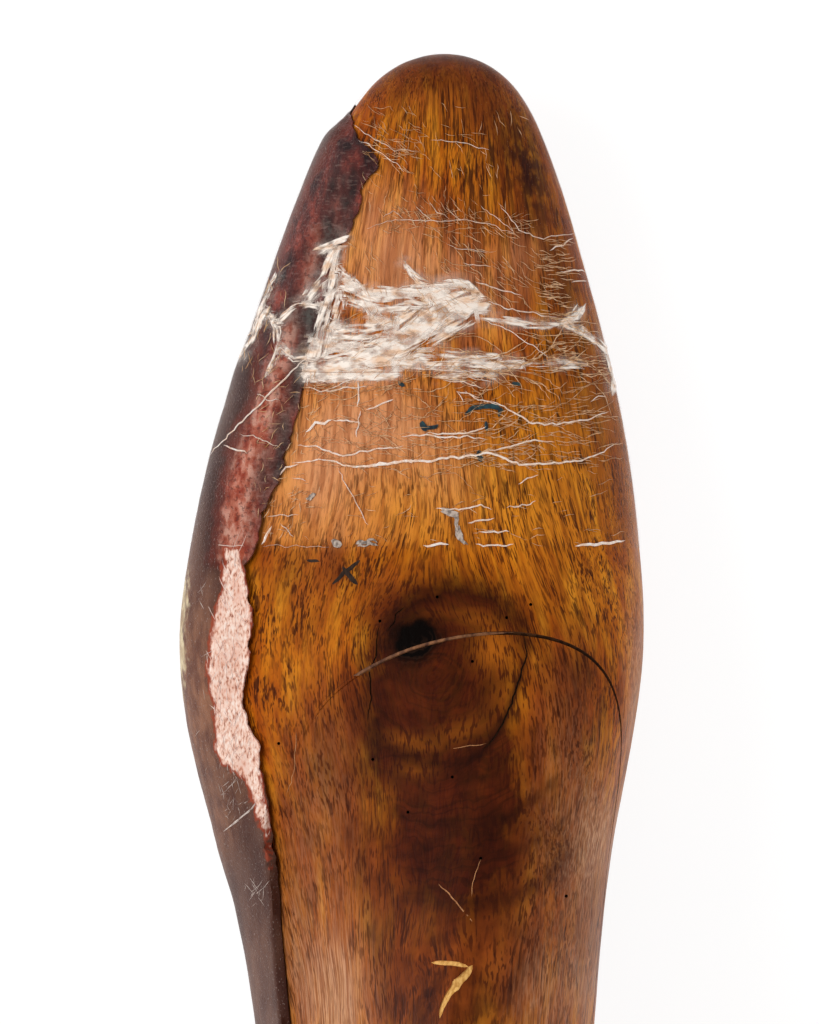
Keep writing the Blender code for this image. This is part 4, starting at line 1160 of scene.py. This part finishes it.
def make_kerf_wax(name, rear, front, finish):
    """Old shellac, wax and dust that fills the saw cut on the lateral side and leaves only a thin line."""

    def point_at(y, corner):
        opened = max(smooth((y - WAX_OPEN) / 3), 0.8 * smooth((WAX_SHUT - y) / 3))
        outer = CUT_RADIUS + SAW_KERF / 2 - 0.02
        inner = CUT_RADIUS - SAW_KERF / 2 + SHUT_LINE + OPEN_LINE * opened
        radius, inset = ((outer, 0), (inner, 0), (inner, 2), (outer, 2))[corner % 4]
        z = CUT_AT[1] - sqrt(radius**2 - (y - CUT_AT[0]) ** 2)
        run = run_of(y)
        low, high = 1.0, 2.0
        for _ in range(24):
            middle = (low + high) / 2
            if section_point(run, -1, middle)[1] < z:
                low = middle
            else:
                high = middle
        point = wood(run, -1, low)
        point += outward(run, -1, low) * (hand_worn(point) - 0.02)
        return point + Vector((inset, 0, 0))

    form = bmesh.new()
    wrapped_grid(form, steps(rear, front, round((front - rear) * 1.5)), list(range(5)), point_at)
    merge(form)
    bmesh.ops.holes_fill(form, edges=[edge for edge in form.edges if edge.is_boundary])
    piece = placed(name, form, [finish])
    mark_wood(piece)
    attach(piece, "last")


# Outlines of the skived strip and of the leather that is stained under the tape, seen from above
BARE_STRIP = (
    (-39.4, 161.2), (-39.8, 156.4), (-40, 152), (-41.3, 148), (-42.4, 142.8), (-42.9, 137), (-42.8, 133),
    (-41.6, 128.8), (-41.3, 124.4), (-41.3, 120), (-39.8, 117), (-37.9, 115.6), (-35.5, 114.2),
    (-34, 110.8), (-33.1, 106.4), (-31.6, 103.6), (-30.9, 100.6), (-30.6, 96.2), (-29.9, 95.8),
    (-29.4, 101.6), (-29.6, 106), (-30.8, 110.4), (-31.2, 115.2), (-30.9, 119.6), (-31.2, 121.4),
    (-31.2, 124.8), (-31.8, 129.2), (-34.4, 132), (-34, 134.6), (-33.3, 139.8), (-33.3, 144.7),
    (-33.1, 147.6), (-34, 152.4), (-35, 156.8), (-35.5, 160.7),
)
STAINED_STRIP = (
    (-40.6, 158), (-39.4, 168), (-38.5, 173), (-37.6, 178.5), (-36.4, 182), (-35.8, 185), (-33.3, 187.6),
    (-32, 194), (-31.8, 203), (-30.6, 207.6), (-29.4, 210.6), (-27.9, 216), (-26.7, 221.4), (-24.8, 226),
    (-22, 232.4), (-19, 238), (-10, 250), (10, 250), (10, 158),
)
LEATHER_SPOTS = {
    "browned": ((-44, 132, 6, 22, 0, 1), (-38, 108, 5, 12, -20, 0.6), (-31, 78, 4, 18, 0, 0.3)),
    "slate": (
        (-22.5, 206.5, 3, 5, 10, 1), (-17.2, 223, 3.2, 4, 0, 0.9), (-30, 174, 2.2, 5, 0, 0.7),
        (-27.6, 183, 2, 5, 0, 0.7), (-24.6, 191, 1.8, 4, 0, 0.7), (-23.4, 198, 2, 3, 0, 0.7),
        (-16, 232, 3, 5, 0, 0.4),
    ),
}
LEATHER_FLUSH = (
    (3.9, 1, ((-37.5, 158), (-36.8, 165), (-36.2, 171))),
    (3.1, 1, ((-36.8, 168), (-35.6, 175), (-33, 182), (-30, 190))),
    (2.1, 0.85, ((-30, 190), (-28, 197), (-26, 204))),
    (1.3, 0.5, ((-26, 204), (-23.6, 211), (-21.4, 218), (-20.4, 224))),
)
LEATHER_SHADE = (
    (3, 1, (
        (-41.5, 158), (-41, 168), (-40, 176), (-38.4, 183), (-35.5, 190), (-34, 198), (-32, 206), (-29, 214),
    )),
    (4, 1, ((-29, 214), (-26, 222), (-22, 231), (-17, 241), (-14, 248))),
    (2.5, 0.5, ((-37, 112), (-33, 100), (-30, 88), (-28, 70))),
)

# A spot rubbed cream on the side wall: (y, z, half length, half height)
RUBBED = (143.2, 17.5, 15, 5.5)

# The leather swells a little all over, and has a raw nap on its skived top
SWELL, SWELL_SIZE = 0.1, 7
NAP, NAP_SIZE = 0.16, 0.9
RAW_SHARE, RAW_FROM = 0.62, 92

# Where loose fibres stand on the skived strip, and where the leather is scuffed: count, x and y from and to
FIBRES = (420, -43.5, -29, 95, 162)
SCUFFED = (
    (34, -41, -35.5, 105.5, 117),
    (16, -36, -30, 88.5, 92.5),
    (20, -46, -43, 84, 158),
)
LONG_SCUFF = ((-39.4, 103.6), (-36.4, 106), (-33.6, 108.4), (-32.4, 110.2))


def make_leather(finish):
    """The leather that builds up the lateral side, with its ragged skived edge."""
    along = steps(run_of(LEATHER_REAR), run_of(LEATHER_FRONT), 260)
    shares = [1 - (1 - i / 56) ** 1.3 for i in range(57)]

    def across(run, share):
        return LEATHER_FOOT + (leather_top(run) - LEATHER_FOOT) * share

    def inner(run, share):
        w = across(run, share)
        return lifted(run, w, leather_foot(run, w) * pressed_down(run))

    def outer(run, share):
        w = across(run, share)
        point = lifted(run, w, 0)
        height = leather_foot(run, w) + leather_thickness(run, w, leather_top(run))
        height *= pressed_down(run)
        height += SWELL * noise.noise(point / SWELL_SIZE)
        raw = smooth((share - RAW_SHARE) / 0.3) * smooth((point.y - RAW_FROM) / 8)
        return lifted(run, w, height + NAP * raw * noise.noise(point / NAP_SIZE))

    form = bmesh.new()
    wrapped_grid(form, along, shares, inner)
    wrapped_grid(form, along, shares, outer)
    bmesh.ops.bridge_loops(form, edges=[edge for edge in form.edges if edge.is_boundary])
    piece = placed("leather_fitting", form, [finish], 60)
    places = places_of(piece)
    plan = places[:, :2]
    y, z, long, high = RUBBED
    edge = 1 - ((places[:, 1] - y) / long) ** 2 - ((places[:, 2] - z) / high) ** 2
    record_values(
        piece,
        bare=closed_outline_depth(plan, BARE_STRIP),
        stained=closed_outline_depth(plan, STAINED_STRIP),
        rubbed=np.clip(edge, -3, 1),
        shaded=soft_lines(plan, LEATHER_SHADE),
        rosy=soft_lines(plan, LEATHER_FLUSH),
        **{name: soft_spots(plan, spots) for name, spots in LEATHER_SPOTS.items()},
    )
    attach(piece, "last")
    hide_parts("side_fitting")

    chance = Random(5)
    hide = seen_from_above([piece])
    fibres = bmesh.new()
    count, x_low, x_high, y_low, y_high = FIBRES
    for _ in range(count):
        x, y = chance.uniform(x_low, x_high), chance.uniform(y_low, y_high)
        if closed_outline_depth(np.array([[x, y]]), BARE_STRIP)[0] > 0.5:
            line = strand(chance, x, y, 1.5, 4.5, 90, 35)
            lay(fibres, hide, line, RIDGE, chance.uniform(0.07, 0.14), 0.12)
    raw_fibre = tinted("raw_leather_fibre", "#F6E4DA", "#DDAE9C", 0.9)
    add_marks("skived_fibres", fibres, "last", raw_fibre)
    scuffs = bmesh.new()
    for count, x_low, x_high, y_low, y_high in SCUFFED:
        for _ in range(count):
            x, y = chance.uniform(x_low, x_high), chance.uniform(y_low, y_high)
            lay(scuffs, hide, strand(chance, x, y, 1.2, 3.5, 80, 50), RIDGE, 0.07, 0.06)
    lay(scuffs, hide, LONG_SCUFF, RIDGE, 0.22, 0.1)
    scuffed = tinted("scuffed_leather", "#D8C8BE", "#A8968E", 0.7)
    add_marks("leather_scuffs", scuffs, "last", scuffed)


def strand(chance, x, y, shortest, longest, turn, spread, pace=0.8):
    """A gently bent line of random length that starts at a place and runs about one way."""
    length = chance.uniform(shortest, longest)
    angle = radians(turn + chance.uniform(-spread, spread))
    bend = chance.uniform(-0.12, 0.12)
    line = [(x, y)]
    for _ in range(max(2, round(length / pace))):
        x, y = x + pace * cos(angle), y + pace * sin(angle)
        angle += bend * pace
        line.append((x, y))
    return line


# Where the film is milky with fine crinkles: (half width, points)
CRINKLED = (
    (0.4, (
        (-16.1, 219.9), (-16.9, 216.3), (-18, 211.9), (-19.1, 207), (-20.2, 202.6), (-21.4, 199.3),
        (-22.1, 194.9),
    )),
    (0.5, ((-16.4, 216.3), (-13.1, 213), (-10.9, 209.2), (-9.3, 206.4), (-6, 203.7))),
    (0.7, ((-14.7, 214.1), (-10.9, 211.4), (-6.5, 210.8), (-2.1, 211.6), (2.3, 211.1), (5.5, 209.7))),
    (2, ((8.8, 208.6), (5, 207.5), (2.3, 205.3), (-0.5, 203.1), (-3.8, 201.5), (-7.6, 199.8))),
    (1.5, ((-3.8, 200.4), (-7.6, 199.3), (-12, 197.6), (-16.4, 196), (-21.3, 195.2))),
    (0.9, ((-22.4, 194.9), (-17.5, 194.8), (-10.9, 194.8), (-5.1, 195.3))),
    (0.4, ((-12, 199.3), (-17.5, 200.8), (-22.7, 201.8))),
    (0.5, ((-18.9, 205.9), (-16.4, 204.5), (-12.5, 204.2))),
    (0.6, ((-8.7, 206.4), (-5.4, 203.7), (-1, 202.6))),
    (0.3, ((8.8, 208.1), (12.1, 206.4), (17.1, 205.9), (21.5, 205), (27.2, 205))),
    (0.4, ((-3.2, 216.8), (-0.5, 213.5), (2.3, 212.5), (6.1, 213.5), (9.4, 213), (12.1, 210.3))),
    (0.9, ((2.3, 211.9), (5.5, 210.8), (8.8, 208.9), (12.7, 208.6))),
    (0.6, ((-5.4, 197.6), (0.6, 197), (6.1, 197.1), (13.2, 196.8), (19.8, 197.1))),
    (0.25, ((19.8, 197.1), (26.9, 197.1), (34.9, 196.8))),
    (0.3, ((3.4, 194.9), (8.8, 194.9), (14.9, 194.2))),
    (0.35, ((28.6, 205.3), (32.4, 203.7), (35.7, 201.5), (37.9, 199.3))),
    (0.4, ((28.6, 205.3), (30.8, 206.4), (32.1, 208.3))),
    (0.45, ((37.9, 199.3), (38.7, 196), (39, 191.6))),
    (0.3, ((-30.1, 207), (-28.5, 204.2), (-28.5, 200.4), (-30.1, 195.3))),
    (0.2, ((-27.9, 206.4), (-25.2, 208.6), (-21.9, 209.2), (-18.9, 208.3))),
    (0.3, ((-36.1, 198.7), (-33.4, 202.6), (-32.3, 205.9), (-30.6, 208.1))),
    (0.2, ((-33.4, 203.7), (-31.5, 209.2), (-29, 215.2))),
    (0.25, ((-27.9, 200.9), (-25.2, 198.5), (-22.4, 198.7))),
    (0.6, ((-19.7, 220.1), (-17.5, 221), (-15.3, 221.8))),
)

# Single creases: (half width, points)
CREASES = (
    (0.22, ((-21.9, 199.3), (-27.9, 193.3), (-33.9, 187.2), (-37.2, 184.1), (-42.2, 179.2))),
    (0.12, ((16, 228.9), (19.8, 224), (24.7, 222), (28, 223.1), (31.9, 223.7), (33, 222.9))),
    (0.2, ((25.8, 219.9), (28.6, 221), (30.5, 222.6))),
    (0.2, ((28, 215.5), (32.4, 216), (33.8, 214.9))),
    (0.15, ((30.2, 213.5), (33.5, 214.1))),
    (0.1, (
        (-11.5, 223.9), (-6.5, 225.7), (-2.1, 225.9), (3.4, 225.6), (8.8, 225.9), (14.3, 224.8),
        (19.3, 223.1),
    )),
    (0.08, ((-1, 229.2), (0.6, 227.3), (2.8, 225.7))),
    (0.08, ((1.7, 229.5), (3.4, 227.5), (6.1, 226.1))),
    (0.08, ((5, 228.4), (6.6, 226.7), (9.4, 225.9))),
    (0.08, ((-7.6, 226.2), (-5.4, 227.8), (-3.2, 225.9))),
    (0.08, ((12.1, 228.9), (15.4, 226.2), (18.7, 223.4))),
    (0.08, ((5, 221.2), (8.3, 220.1), (12.1, 219.6), (13.8, 219.3))),
    (0.12, ((8.3, 217.1), (12.1, 216.8), (14.3, 216.6))),
    (0.15, ((11, 213.5), (16, 211.9), (20.4, 210.8))),
    (0.15, ((13.2, 209.7), (17.6, 208.1), (24.2, 207), (27.5, 206.4))),
    (0.12, ((12.1, 205.9), (17.1, 204.2), (23.1, 200.4), (25.8, 198.2))),
    (0.15, ((-22.4, 192.7), (-19.7, 191.6), (-15.3, 192.2), (-10.4, 192.7))),
    (0.15, ((4.5, 193.8), (8.8, 193.3), (12.7, 192.2))),
    (0.15, ((8.8, 189.4), (7.4, 191.6), (12.1, 190.5))),
    (0.15, ((34.1, 189.4), (35.7, 190.8), (37.4, 190.8))),
    (0.28, (
        (-25.7, 177.3), (-22.4, 177.8), (-18, 178), (-15.3, 176.9), (-13.1, 176.6), (-8.7, 177),
        (-4.3, 177.7), (0.6, 177.8), (6.1, 178.4), (13.2, 179.3), (16.5, 178.6), (19.8, 177),
        (25.3, 177.3), (33, 177.8), (39.6, 181.4),
    )),
    (0.32, ((-12.1, 176.6), (-8.7, 177), (-4.3, 177.7), (0.6, 177.8))),
    (0.2, (
        (-24.6, 180.8), (-20.8, 180.9), (-17.5, 179.3), (-15.3, 178.9), (-12, 179.6), (-7.6, 180.3),
        (-3.2, 180.8),
    )),
    (0.2, ((-3.8, 182.5), (0.6, 182.9), (5, 182.4), (9.4, 182.8), (13.2, 182.2))),
    (0.2, ((1.2, 183.3), (6.1, 183), (11, 183.6), (13.5, 185))),
    (0.2, ((13.2, 179.5), (18.7, 180.8), (22, 181.7), (26.9, 181.8))),
    (0.22, ((13.8, 189.9), (17.6, 188.2), (22.5, 185.2), (28, 185.2), (33.5, 186.3), (37.9, 187.7))),
    (0.15, ((8.8, 191.8), (11.6, 189.9), (16, 188.8))),
    (0.2, ((-12.3, 193.7), (-12, 190.7), (-12.4, 188.5))),
    (0.18, ((-11.9, 187.9), (-12.4, 185.2), (-12.7, 182.4))),
    (0.35, ((-23, 183.6), (-20.8, 185.2), (-17.5, 185.9))),
    (0.2, ((-17.5, 185.9), (-14.7, 185.8), (-11.7, 185.3))),
    (0.2, ((-10.9, 187.9), (-7.6, 189.2), (-5.1, 190.2))),
    (0.12, ((-16.4, 176.5), (-14.7, 172.6), (-12, 168.2), (-10.4, 164.9))),
    (0.2, ((3.1, 168.2), (7.7, 168.1), (12.1, 168.9), (14.3, 168))),
    (0.2, ((9.4, 165.5), (14.9, 166.3))),
    (0.15, ((19.5, 173.1), (23.6, 175.1))),
    (0.15, ((17.1, 168.4), (21.2, 169), (23.1, 169.9))),
    (0.2, ((11.6, 163.7), (17.9, 163.8))),
    (0.2, ((11, 161), (18.7, 161.2))),
    (0.3, ((0.6, 160.9), (3.1, 161.2), (5.8, 161.2))),
    (0.35, ((30.8, 160.8), (36.3, 161.3), (41, 161.8))),
    (0.12, ((-30.6, 166.6), (-27.9, 167.1), (-24.1, 167))),
    (0.2, ((-27.9, 174.8), (-26.8, 176.5), (-24.1, 177.1))),
    (0.12, ((-25.7, 174.3), (-22.7, 173.7))),
    (0.12, ((-27.9, 165.5), (-26.3, 163.8), (-25.2, 162.6))),
    (0.2, ((-39.4, 180.8), (-37.2, 180.3), (-34.5, 179.3))),
    (0.12, ((-36.1, 183.3), (-33.4, 182.8), (-27.9, 180.3))),
    (0.12, ((-32.8, 191.3), (-30.6, 190.2), (-27.9, 189.9))),
    (0.3, ((-31.7, 161.1), (-30.6, 163.3), (-29.5, 164.9))),
    (0.1, ((-13.6, 245), (-9, 242), (-5, 240), (0, 239.6))),
    (0.1, ((-12.4, 242), (-9, 240), (-6, 238), (-3, 235.6))),
    (0.1, ((2, 242), (8, 241.4), (14, 240))),
    (0.1, ((-46, 160.9), (-41, 160.8), (-35, 160.7))),
    (0.07, ((-31.6, 160.8), (-24, 160.8), (-18, 160.7))),
)

# Smears where the film is milky in patches: (half width, points)
SMEARED = (
    (2.6, ((-20.5, 196.4), (-12, 198.2), (-4, 200.8), (3, 204.4), (9, 208))),
    (2.6, ((-4, 204), (2, 208), (9, 210))),
    (1.9, ((-14, 211.5), (-8, 209.4), (-2, 209.6), (4, 208.4))),
    (1.7, ((-21, 196), (-19.4, 203), (-17.4, 210))),
    (1.6, ((0, 198), (8, 197.4), (14, 197.2))),
    (1.8, ((-16, 203), (-10, 203.6), (-5, 204.6))),
    (2.2, ((-10, 200), (-3, 203), (4, 206.5))),
    (0.8, ((-22, 211), (-19, 215), (-17.5, 219))),
    (1.5, ((-22, 195.6), (-14, 195.6), (-6, 196))),
)
NO_CRINKLES = -9

# Torn bits of adhesive, grey and lifted: (half width, points)
TORN_BITS = (
    (1.1, ((-17.4, 162.6), (-16.4, 161.2), (-16.2, 160.7))),
    (0.6, ((-12.5, 160.9), (-9.8, 161.4), (-8.2, 161))),
    (0.8, ((4.4, 167.9), (7.5, 166.6), (7.5, 164.4))),
    (0.5, ((7.5, 165), (8, 162.6), (9.2, 161.2))),
    (0.5, ((-22.6, 170.2), (-21.8, 170.8), (-21, 171.2))),
)

# Where small creases lie thick: count, x and y from and to, shortest, longest, direction, spread, half width
CREASE_PATCHES = (
    (130, -24, 34, 176, 193.5, 3, 12, 0, 12, 0.06),
    (60, -20, 36, 176, 193.5, 1.5, 4, 0, 40, 0.055),
    (70, 8, 36, 176, 190, 2, 7, 6, 22, 0.07),
    (70, -24, -4, 181, 194, 1, 4, 0, 70, 0.06),
    (70, 4, 24, 209, 225, 2, 5, -38, 18, 0.05),
    (64, 22.5, 28, 205, 222, 2.5, 4.5, -8, 14, 0.08),
    (36, 25, 31, 196, 208, 1.5, 3.5, 5, 22, 0.09),
    (40, -4, 34, 194, 206, 4, 12, -2, 9, 0.07),
    (44, 4, 38, 194.5, 199, 4, 14, 0, 5, 0.08),
    (90, -33, -20, 162, 194, 1, 3, 40, 60, 0.07),
    (40, -38, -27, 194, 216, 1.5, 4, 70, 40, 0.06),
    (90, -12, 20, 224, 250, 1.5, 4, -50, 50, 0.045),
    (60, -9, 20, 223, 227, 1.5, 5, 0, 25, 0.05),
    (50, -10, 12, 226, 231, 1.5, 3.5, -58, 20, 0.045),
    (50, -12, -1, 238, 246, 1.5, 5, -24, 30, 0.05),
    (50, -26, 38, 161.5, 176, 1, 4, 0, 30, 0.06),
    (60, -16, 14, 208, 222, 1.5, 4, -50, 40, 0.05),
    (60, -20, 6, 195, 208, 1.5, 5, 20, 40, 0.05),
)


def make_tape(finish):
    """Bands of clear film over the toe, with the creases and milky crinkles in them."""
    ends = (TAPE_REAR, *TAPE_SEAMS, TOE_TIP_AT)
    pieces = []
    for number, (rear, front) in enumerate(zip(ends, ends[1:]), 1):
        last = number == len(ends) - 1
        start, stop = run_of(rear), pi if last else run_of(front - 0.1)
        lengthwise = 60 if last else round((front - rear) / 0.9)
        across = steps(TAPE_FOOT, 4 - TAPE_FOOT, 190)

        def height(run, w):
            point = lifted(run, w, 0)
            across_it, along_it = CRUMPLE_SIZE
            place = Vector((point.x / across_it, point.y / along_it, point.z / across_it))
            return cover(run, w) + FILM_GAP + CRUMPLE * abs(noise.noise(place))

        form = bmesh.new()
        for thickness in (0, FILM):
            wrapped_grid(
                form, steps(start, stop, lengthwise), across,
                lambda run, w: lifted(run, w, height(run, w) - thickness),
            )
            merge(form, 0.002)
        bmesh.ops.bridge_loops(form, edges=[edge for edge in form.edges if edge.is_boundary])
        piece = placed(f"tape_film_{number}", form, [finish], 80)
        places = places_of(piece)
        top = ramp(places[:, 2], 13, 5)
        smeared = np.minimum(stroke_depth(places[:, :2], SMEARED), 0)
        crinkled = np.maximum(stroke_depth(places[:, :2], CRINKLED), smeared)
        record_values(piece, crinkled=crinkled * top + NO_CRINKLES * (1 - top))
        record_places(piece, "strokes", stroke_places(places[:, :2], CRINKLED + SMEARED))
        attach(piece, "last")
        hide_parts(f"tape_band_{number}")
        pieces.append(piece)

    film = seen_from_above(pieces)
    chance = Random(11)
    creases = bmesh.new()
    for half_width, line in CREASES:
        lay(creases, film, line, RIDGE, half_width * 0.8, 0.16, waver=0.5, pace=0.8)
    fine = bmesh.new()
    for count, x_low, x_high, y_low, y_high, shortest, longest, turn, spread, half_width in CREASE_PATCHES:
        for _ in range(count):
            x, y = chance.uniform(x_low, x_high), chance.uniform(y_low, y_high)
            line = strand(chance, x, y, shortest, longest, turn, spread)
            lay(fine, film, line, RIDGE, half_width * chance.uniform(0.7, 1.4), 0.1, waver=0.5)
    add_marks("fine_creases", fine, "last", tinted("finely_creased_film", "#EFCBA2", "#B67F4E", 0.35))
    for half_width, line in CRINKLED:
        points = [Vector(point) for point in line]
        for _ in range(round(half_width * 2.5) + 2):
            first = chance.uniform(-0.3, 0.7) * (len(points) - 1)
            final = first + chance.uniform(0.3, 0.8) * (len(points) - 1)
            aside = chance.uniform(-1, 1) * half_width * 1.4
            picked = []
            for step in steps(max(0, first), min(len(points) - 1, final), 6):
                i = min(int(step), len(points) - 2)
                ahead = (points[i + 1] - points[i]).normalized()
                fan = aside * (1 + 0.5 * (step - first))
                picked.append(points[i].lerp(points[i + 1], step - i) + Vector((-ahead.y, ahead.x)) * fan)
            lay(creases, film, picked, RIDGE, chance.uniform(0.04, 0.1), 0.1, waver=0.35, pace=0.9)
    # The creases are white where the film has crazed, and as painted glints of light along them
    add_marks("tape_creases_and_glints", creases, "last", tinted("creased_film", "#FDF3EB", "#F0CDB2", 0.35))
    bits = bmesh.new()
    for half_width, line in TORN_BITS:
        for _ in range(4):
            shift = Vector((chance.uniform(-1, 1), chance.uniform(-1, 1))) * half_width * 0.8
            moved = [Vector(point) + shift for point in line]
            lay(bits, film, moved, DAUB, half_width * chance.uniform(0.3, 0.6), 0.1, waver=0.7, pace=0.3)
    add_marks("torn_bits", bits, "last", tinted("dried_adhesive", "#C4B2A4", "#74665E", 0.7, 0.6))
    ink = bmesh.new()
    for half_width, line in INK:
        lay(ink, film, line, DAUB, half_width, 0.05, waver=0.6, pace=0.4)
    add_marks("ink_smudges", ink, "last", tinted("smudged_ink", "#23444A", "#161A22", 0.5, 0.7))


def refined(node, body, finish):
    """A merged copy of a CAD node, its round faces shaded smooth."""
    form = bmesh.new()
    form.from_mesh(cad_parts[node].data)
    merge(form)
    piece = placed(f"{node}_finished", form, [finish], 30)
    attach(piece, body)
    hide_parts(node)


def make_fittings():
    """Screw, cup, thimble, heel plate, nails and brads, and the leather underlay."""
    iron = worn_metal("blackened_iron", "#6E665E", "#3A2A20", 0.42)
    steel = worn_metal("dull_steel", "#A8A39C", "#6A5A4C", 0.32)
    brass = worn_metal("aged_brass", "#B9974F", "#6E5428", 0.3)
    flesh = tinted("flesh_side_leather", "#C99380", "#9C6150", 0.9)
    refined("block_screw", "screw", iron)
    refined("screw_cup", "cup", brass)
    refined("jack_thimble", "last", steel)
    refined("heel_plate", "last", steel)
    refined("joint_underlay", "last", flesh)
    for number in range(1, 6):
        refined(f"heel_plate_nail_{number}", "last", iron)
    for number in range(1, 5):
        refined(f"fitting_brad_{number}", "last", iron)


# Lamps: name, place and size in metres, power. They point at LIT_PLACE, in metres too
LAMPS = (
    ("window", (-1, 0.35, 0.85), 0.9, 10.5),
    ("fill", (0.9, 0.1, 0.7), 0.7, 3),
)
LIT_PLACE = (0, 0.15, 0.03)


def make_stage():
    """A white floor and plain studio light from the left and above."""
    form = bmesh.new()
    bmesh.ops.create_grid(form, x_segments=1, y_segments=1, size=30)
    floor = placed("floor", form, [white_paper()])

    world = bpy.data.worlds.new("studio")
    bpy.context.scene.world = world
    world.use_nodes = True
    tree = world.node_tree
    background = tree.nodes["Background"]
    background.inputs["Color"].default_value = linear("#FFFFFF")
    direction = add(tree, "TexCoord").node.outputs["Generated"]
    up = add(tree, "SeparateXYZ", {0: direction}).node.outputs["Z"]
    sky = add(tree, "Math", {0: up, 1: -0.75, 2: 0.95}, operation="MULTIPLY_ADD", use_clamp=True)
    rays = add(tree, "LightPath").node.outputs
    seen = add(tree, "Math", {0: rays["Is Camera Ray"], 1: rays["Is Transmission Ray"]}, operation="MAXIMUM")
    strength = add(tree, "Math", {0: seen, 1: sky}, operation="MAXIMUM")
    tree.links.new(strength, background.inputs["Strength"])

    for name, place, size, power in LAMPS:
        lamp = bpy.data.lights.new(name, "AREA")
        lamp.size = size
        lamp.energy = power
        holder = bpy.data.objects.new(name, lamp)
        holder.location = place
        holder.rotation_euler = (Vector(LIT_PLACE) - Vector(place)).to_track_quat("-Z", "Y").to_euler()
        holder.visible_camera = False
        holder.visible_glossy = False
        bpy.context.scene.collection.objects.link(holder)


# The photo's middle, and how much of the part its height shows at VIEW_LEVEL above the floor
VIEW_CENTRE = (-2.1, 167.6)
VIEW_HEIGHT = 204.8
VIEW_LEVEL = 25
CAMERA_UP = 4000
SENSOR = 36


def make_camera():
    """Straight above, from far off, as the photograph is taken."""
    data = bpy.data.cameras.new("camera")
    data.sensor_width = SENSOR
    data.lens = SENSOR * CAMERA_UP / VIEW_HEIGHT
    data.clip_end = 100
    camera = bpy.data.objects.new("camera", data)
    camera.location = Vector((*VIEW_CENTRE, VIEW_LEVEL + CAMERA_UP)) * MM
    bpy.context.scene.collection.objects.link(camera)
    bpy.context.scene.camera = camera


def main():
    bpy.context.scene.view_settings.view_transform = "Standard"
    make_camera()
    make_stage()
    make_wood(shellacked_hardwood())
    make_leather(grained_leather())
    make_tape(clear_tape())
    make_fittings()


main()
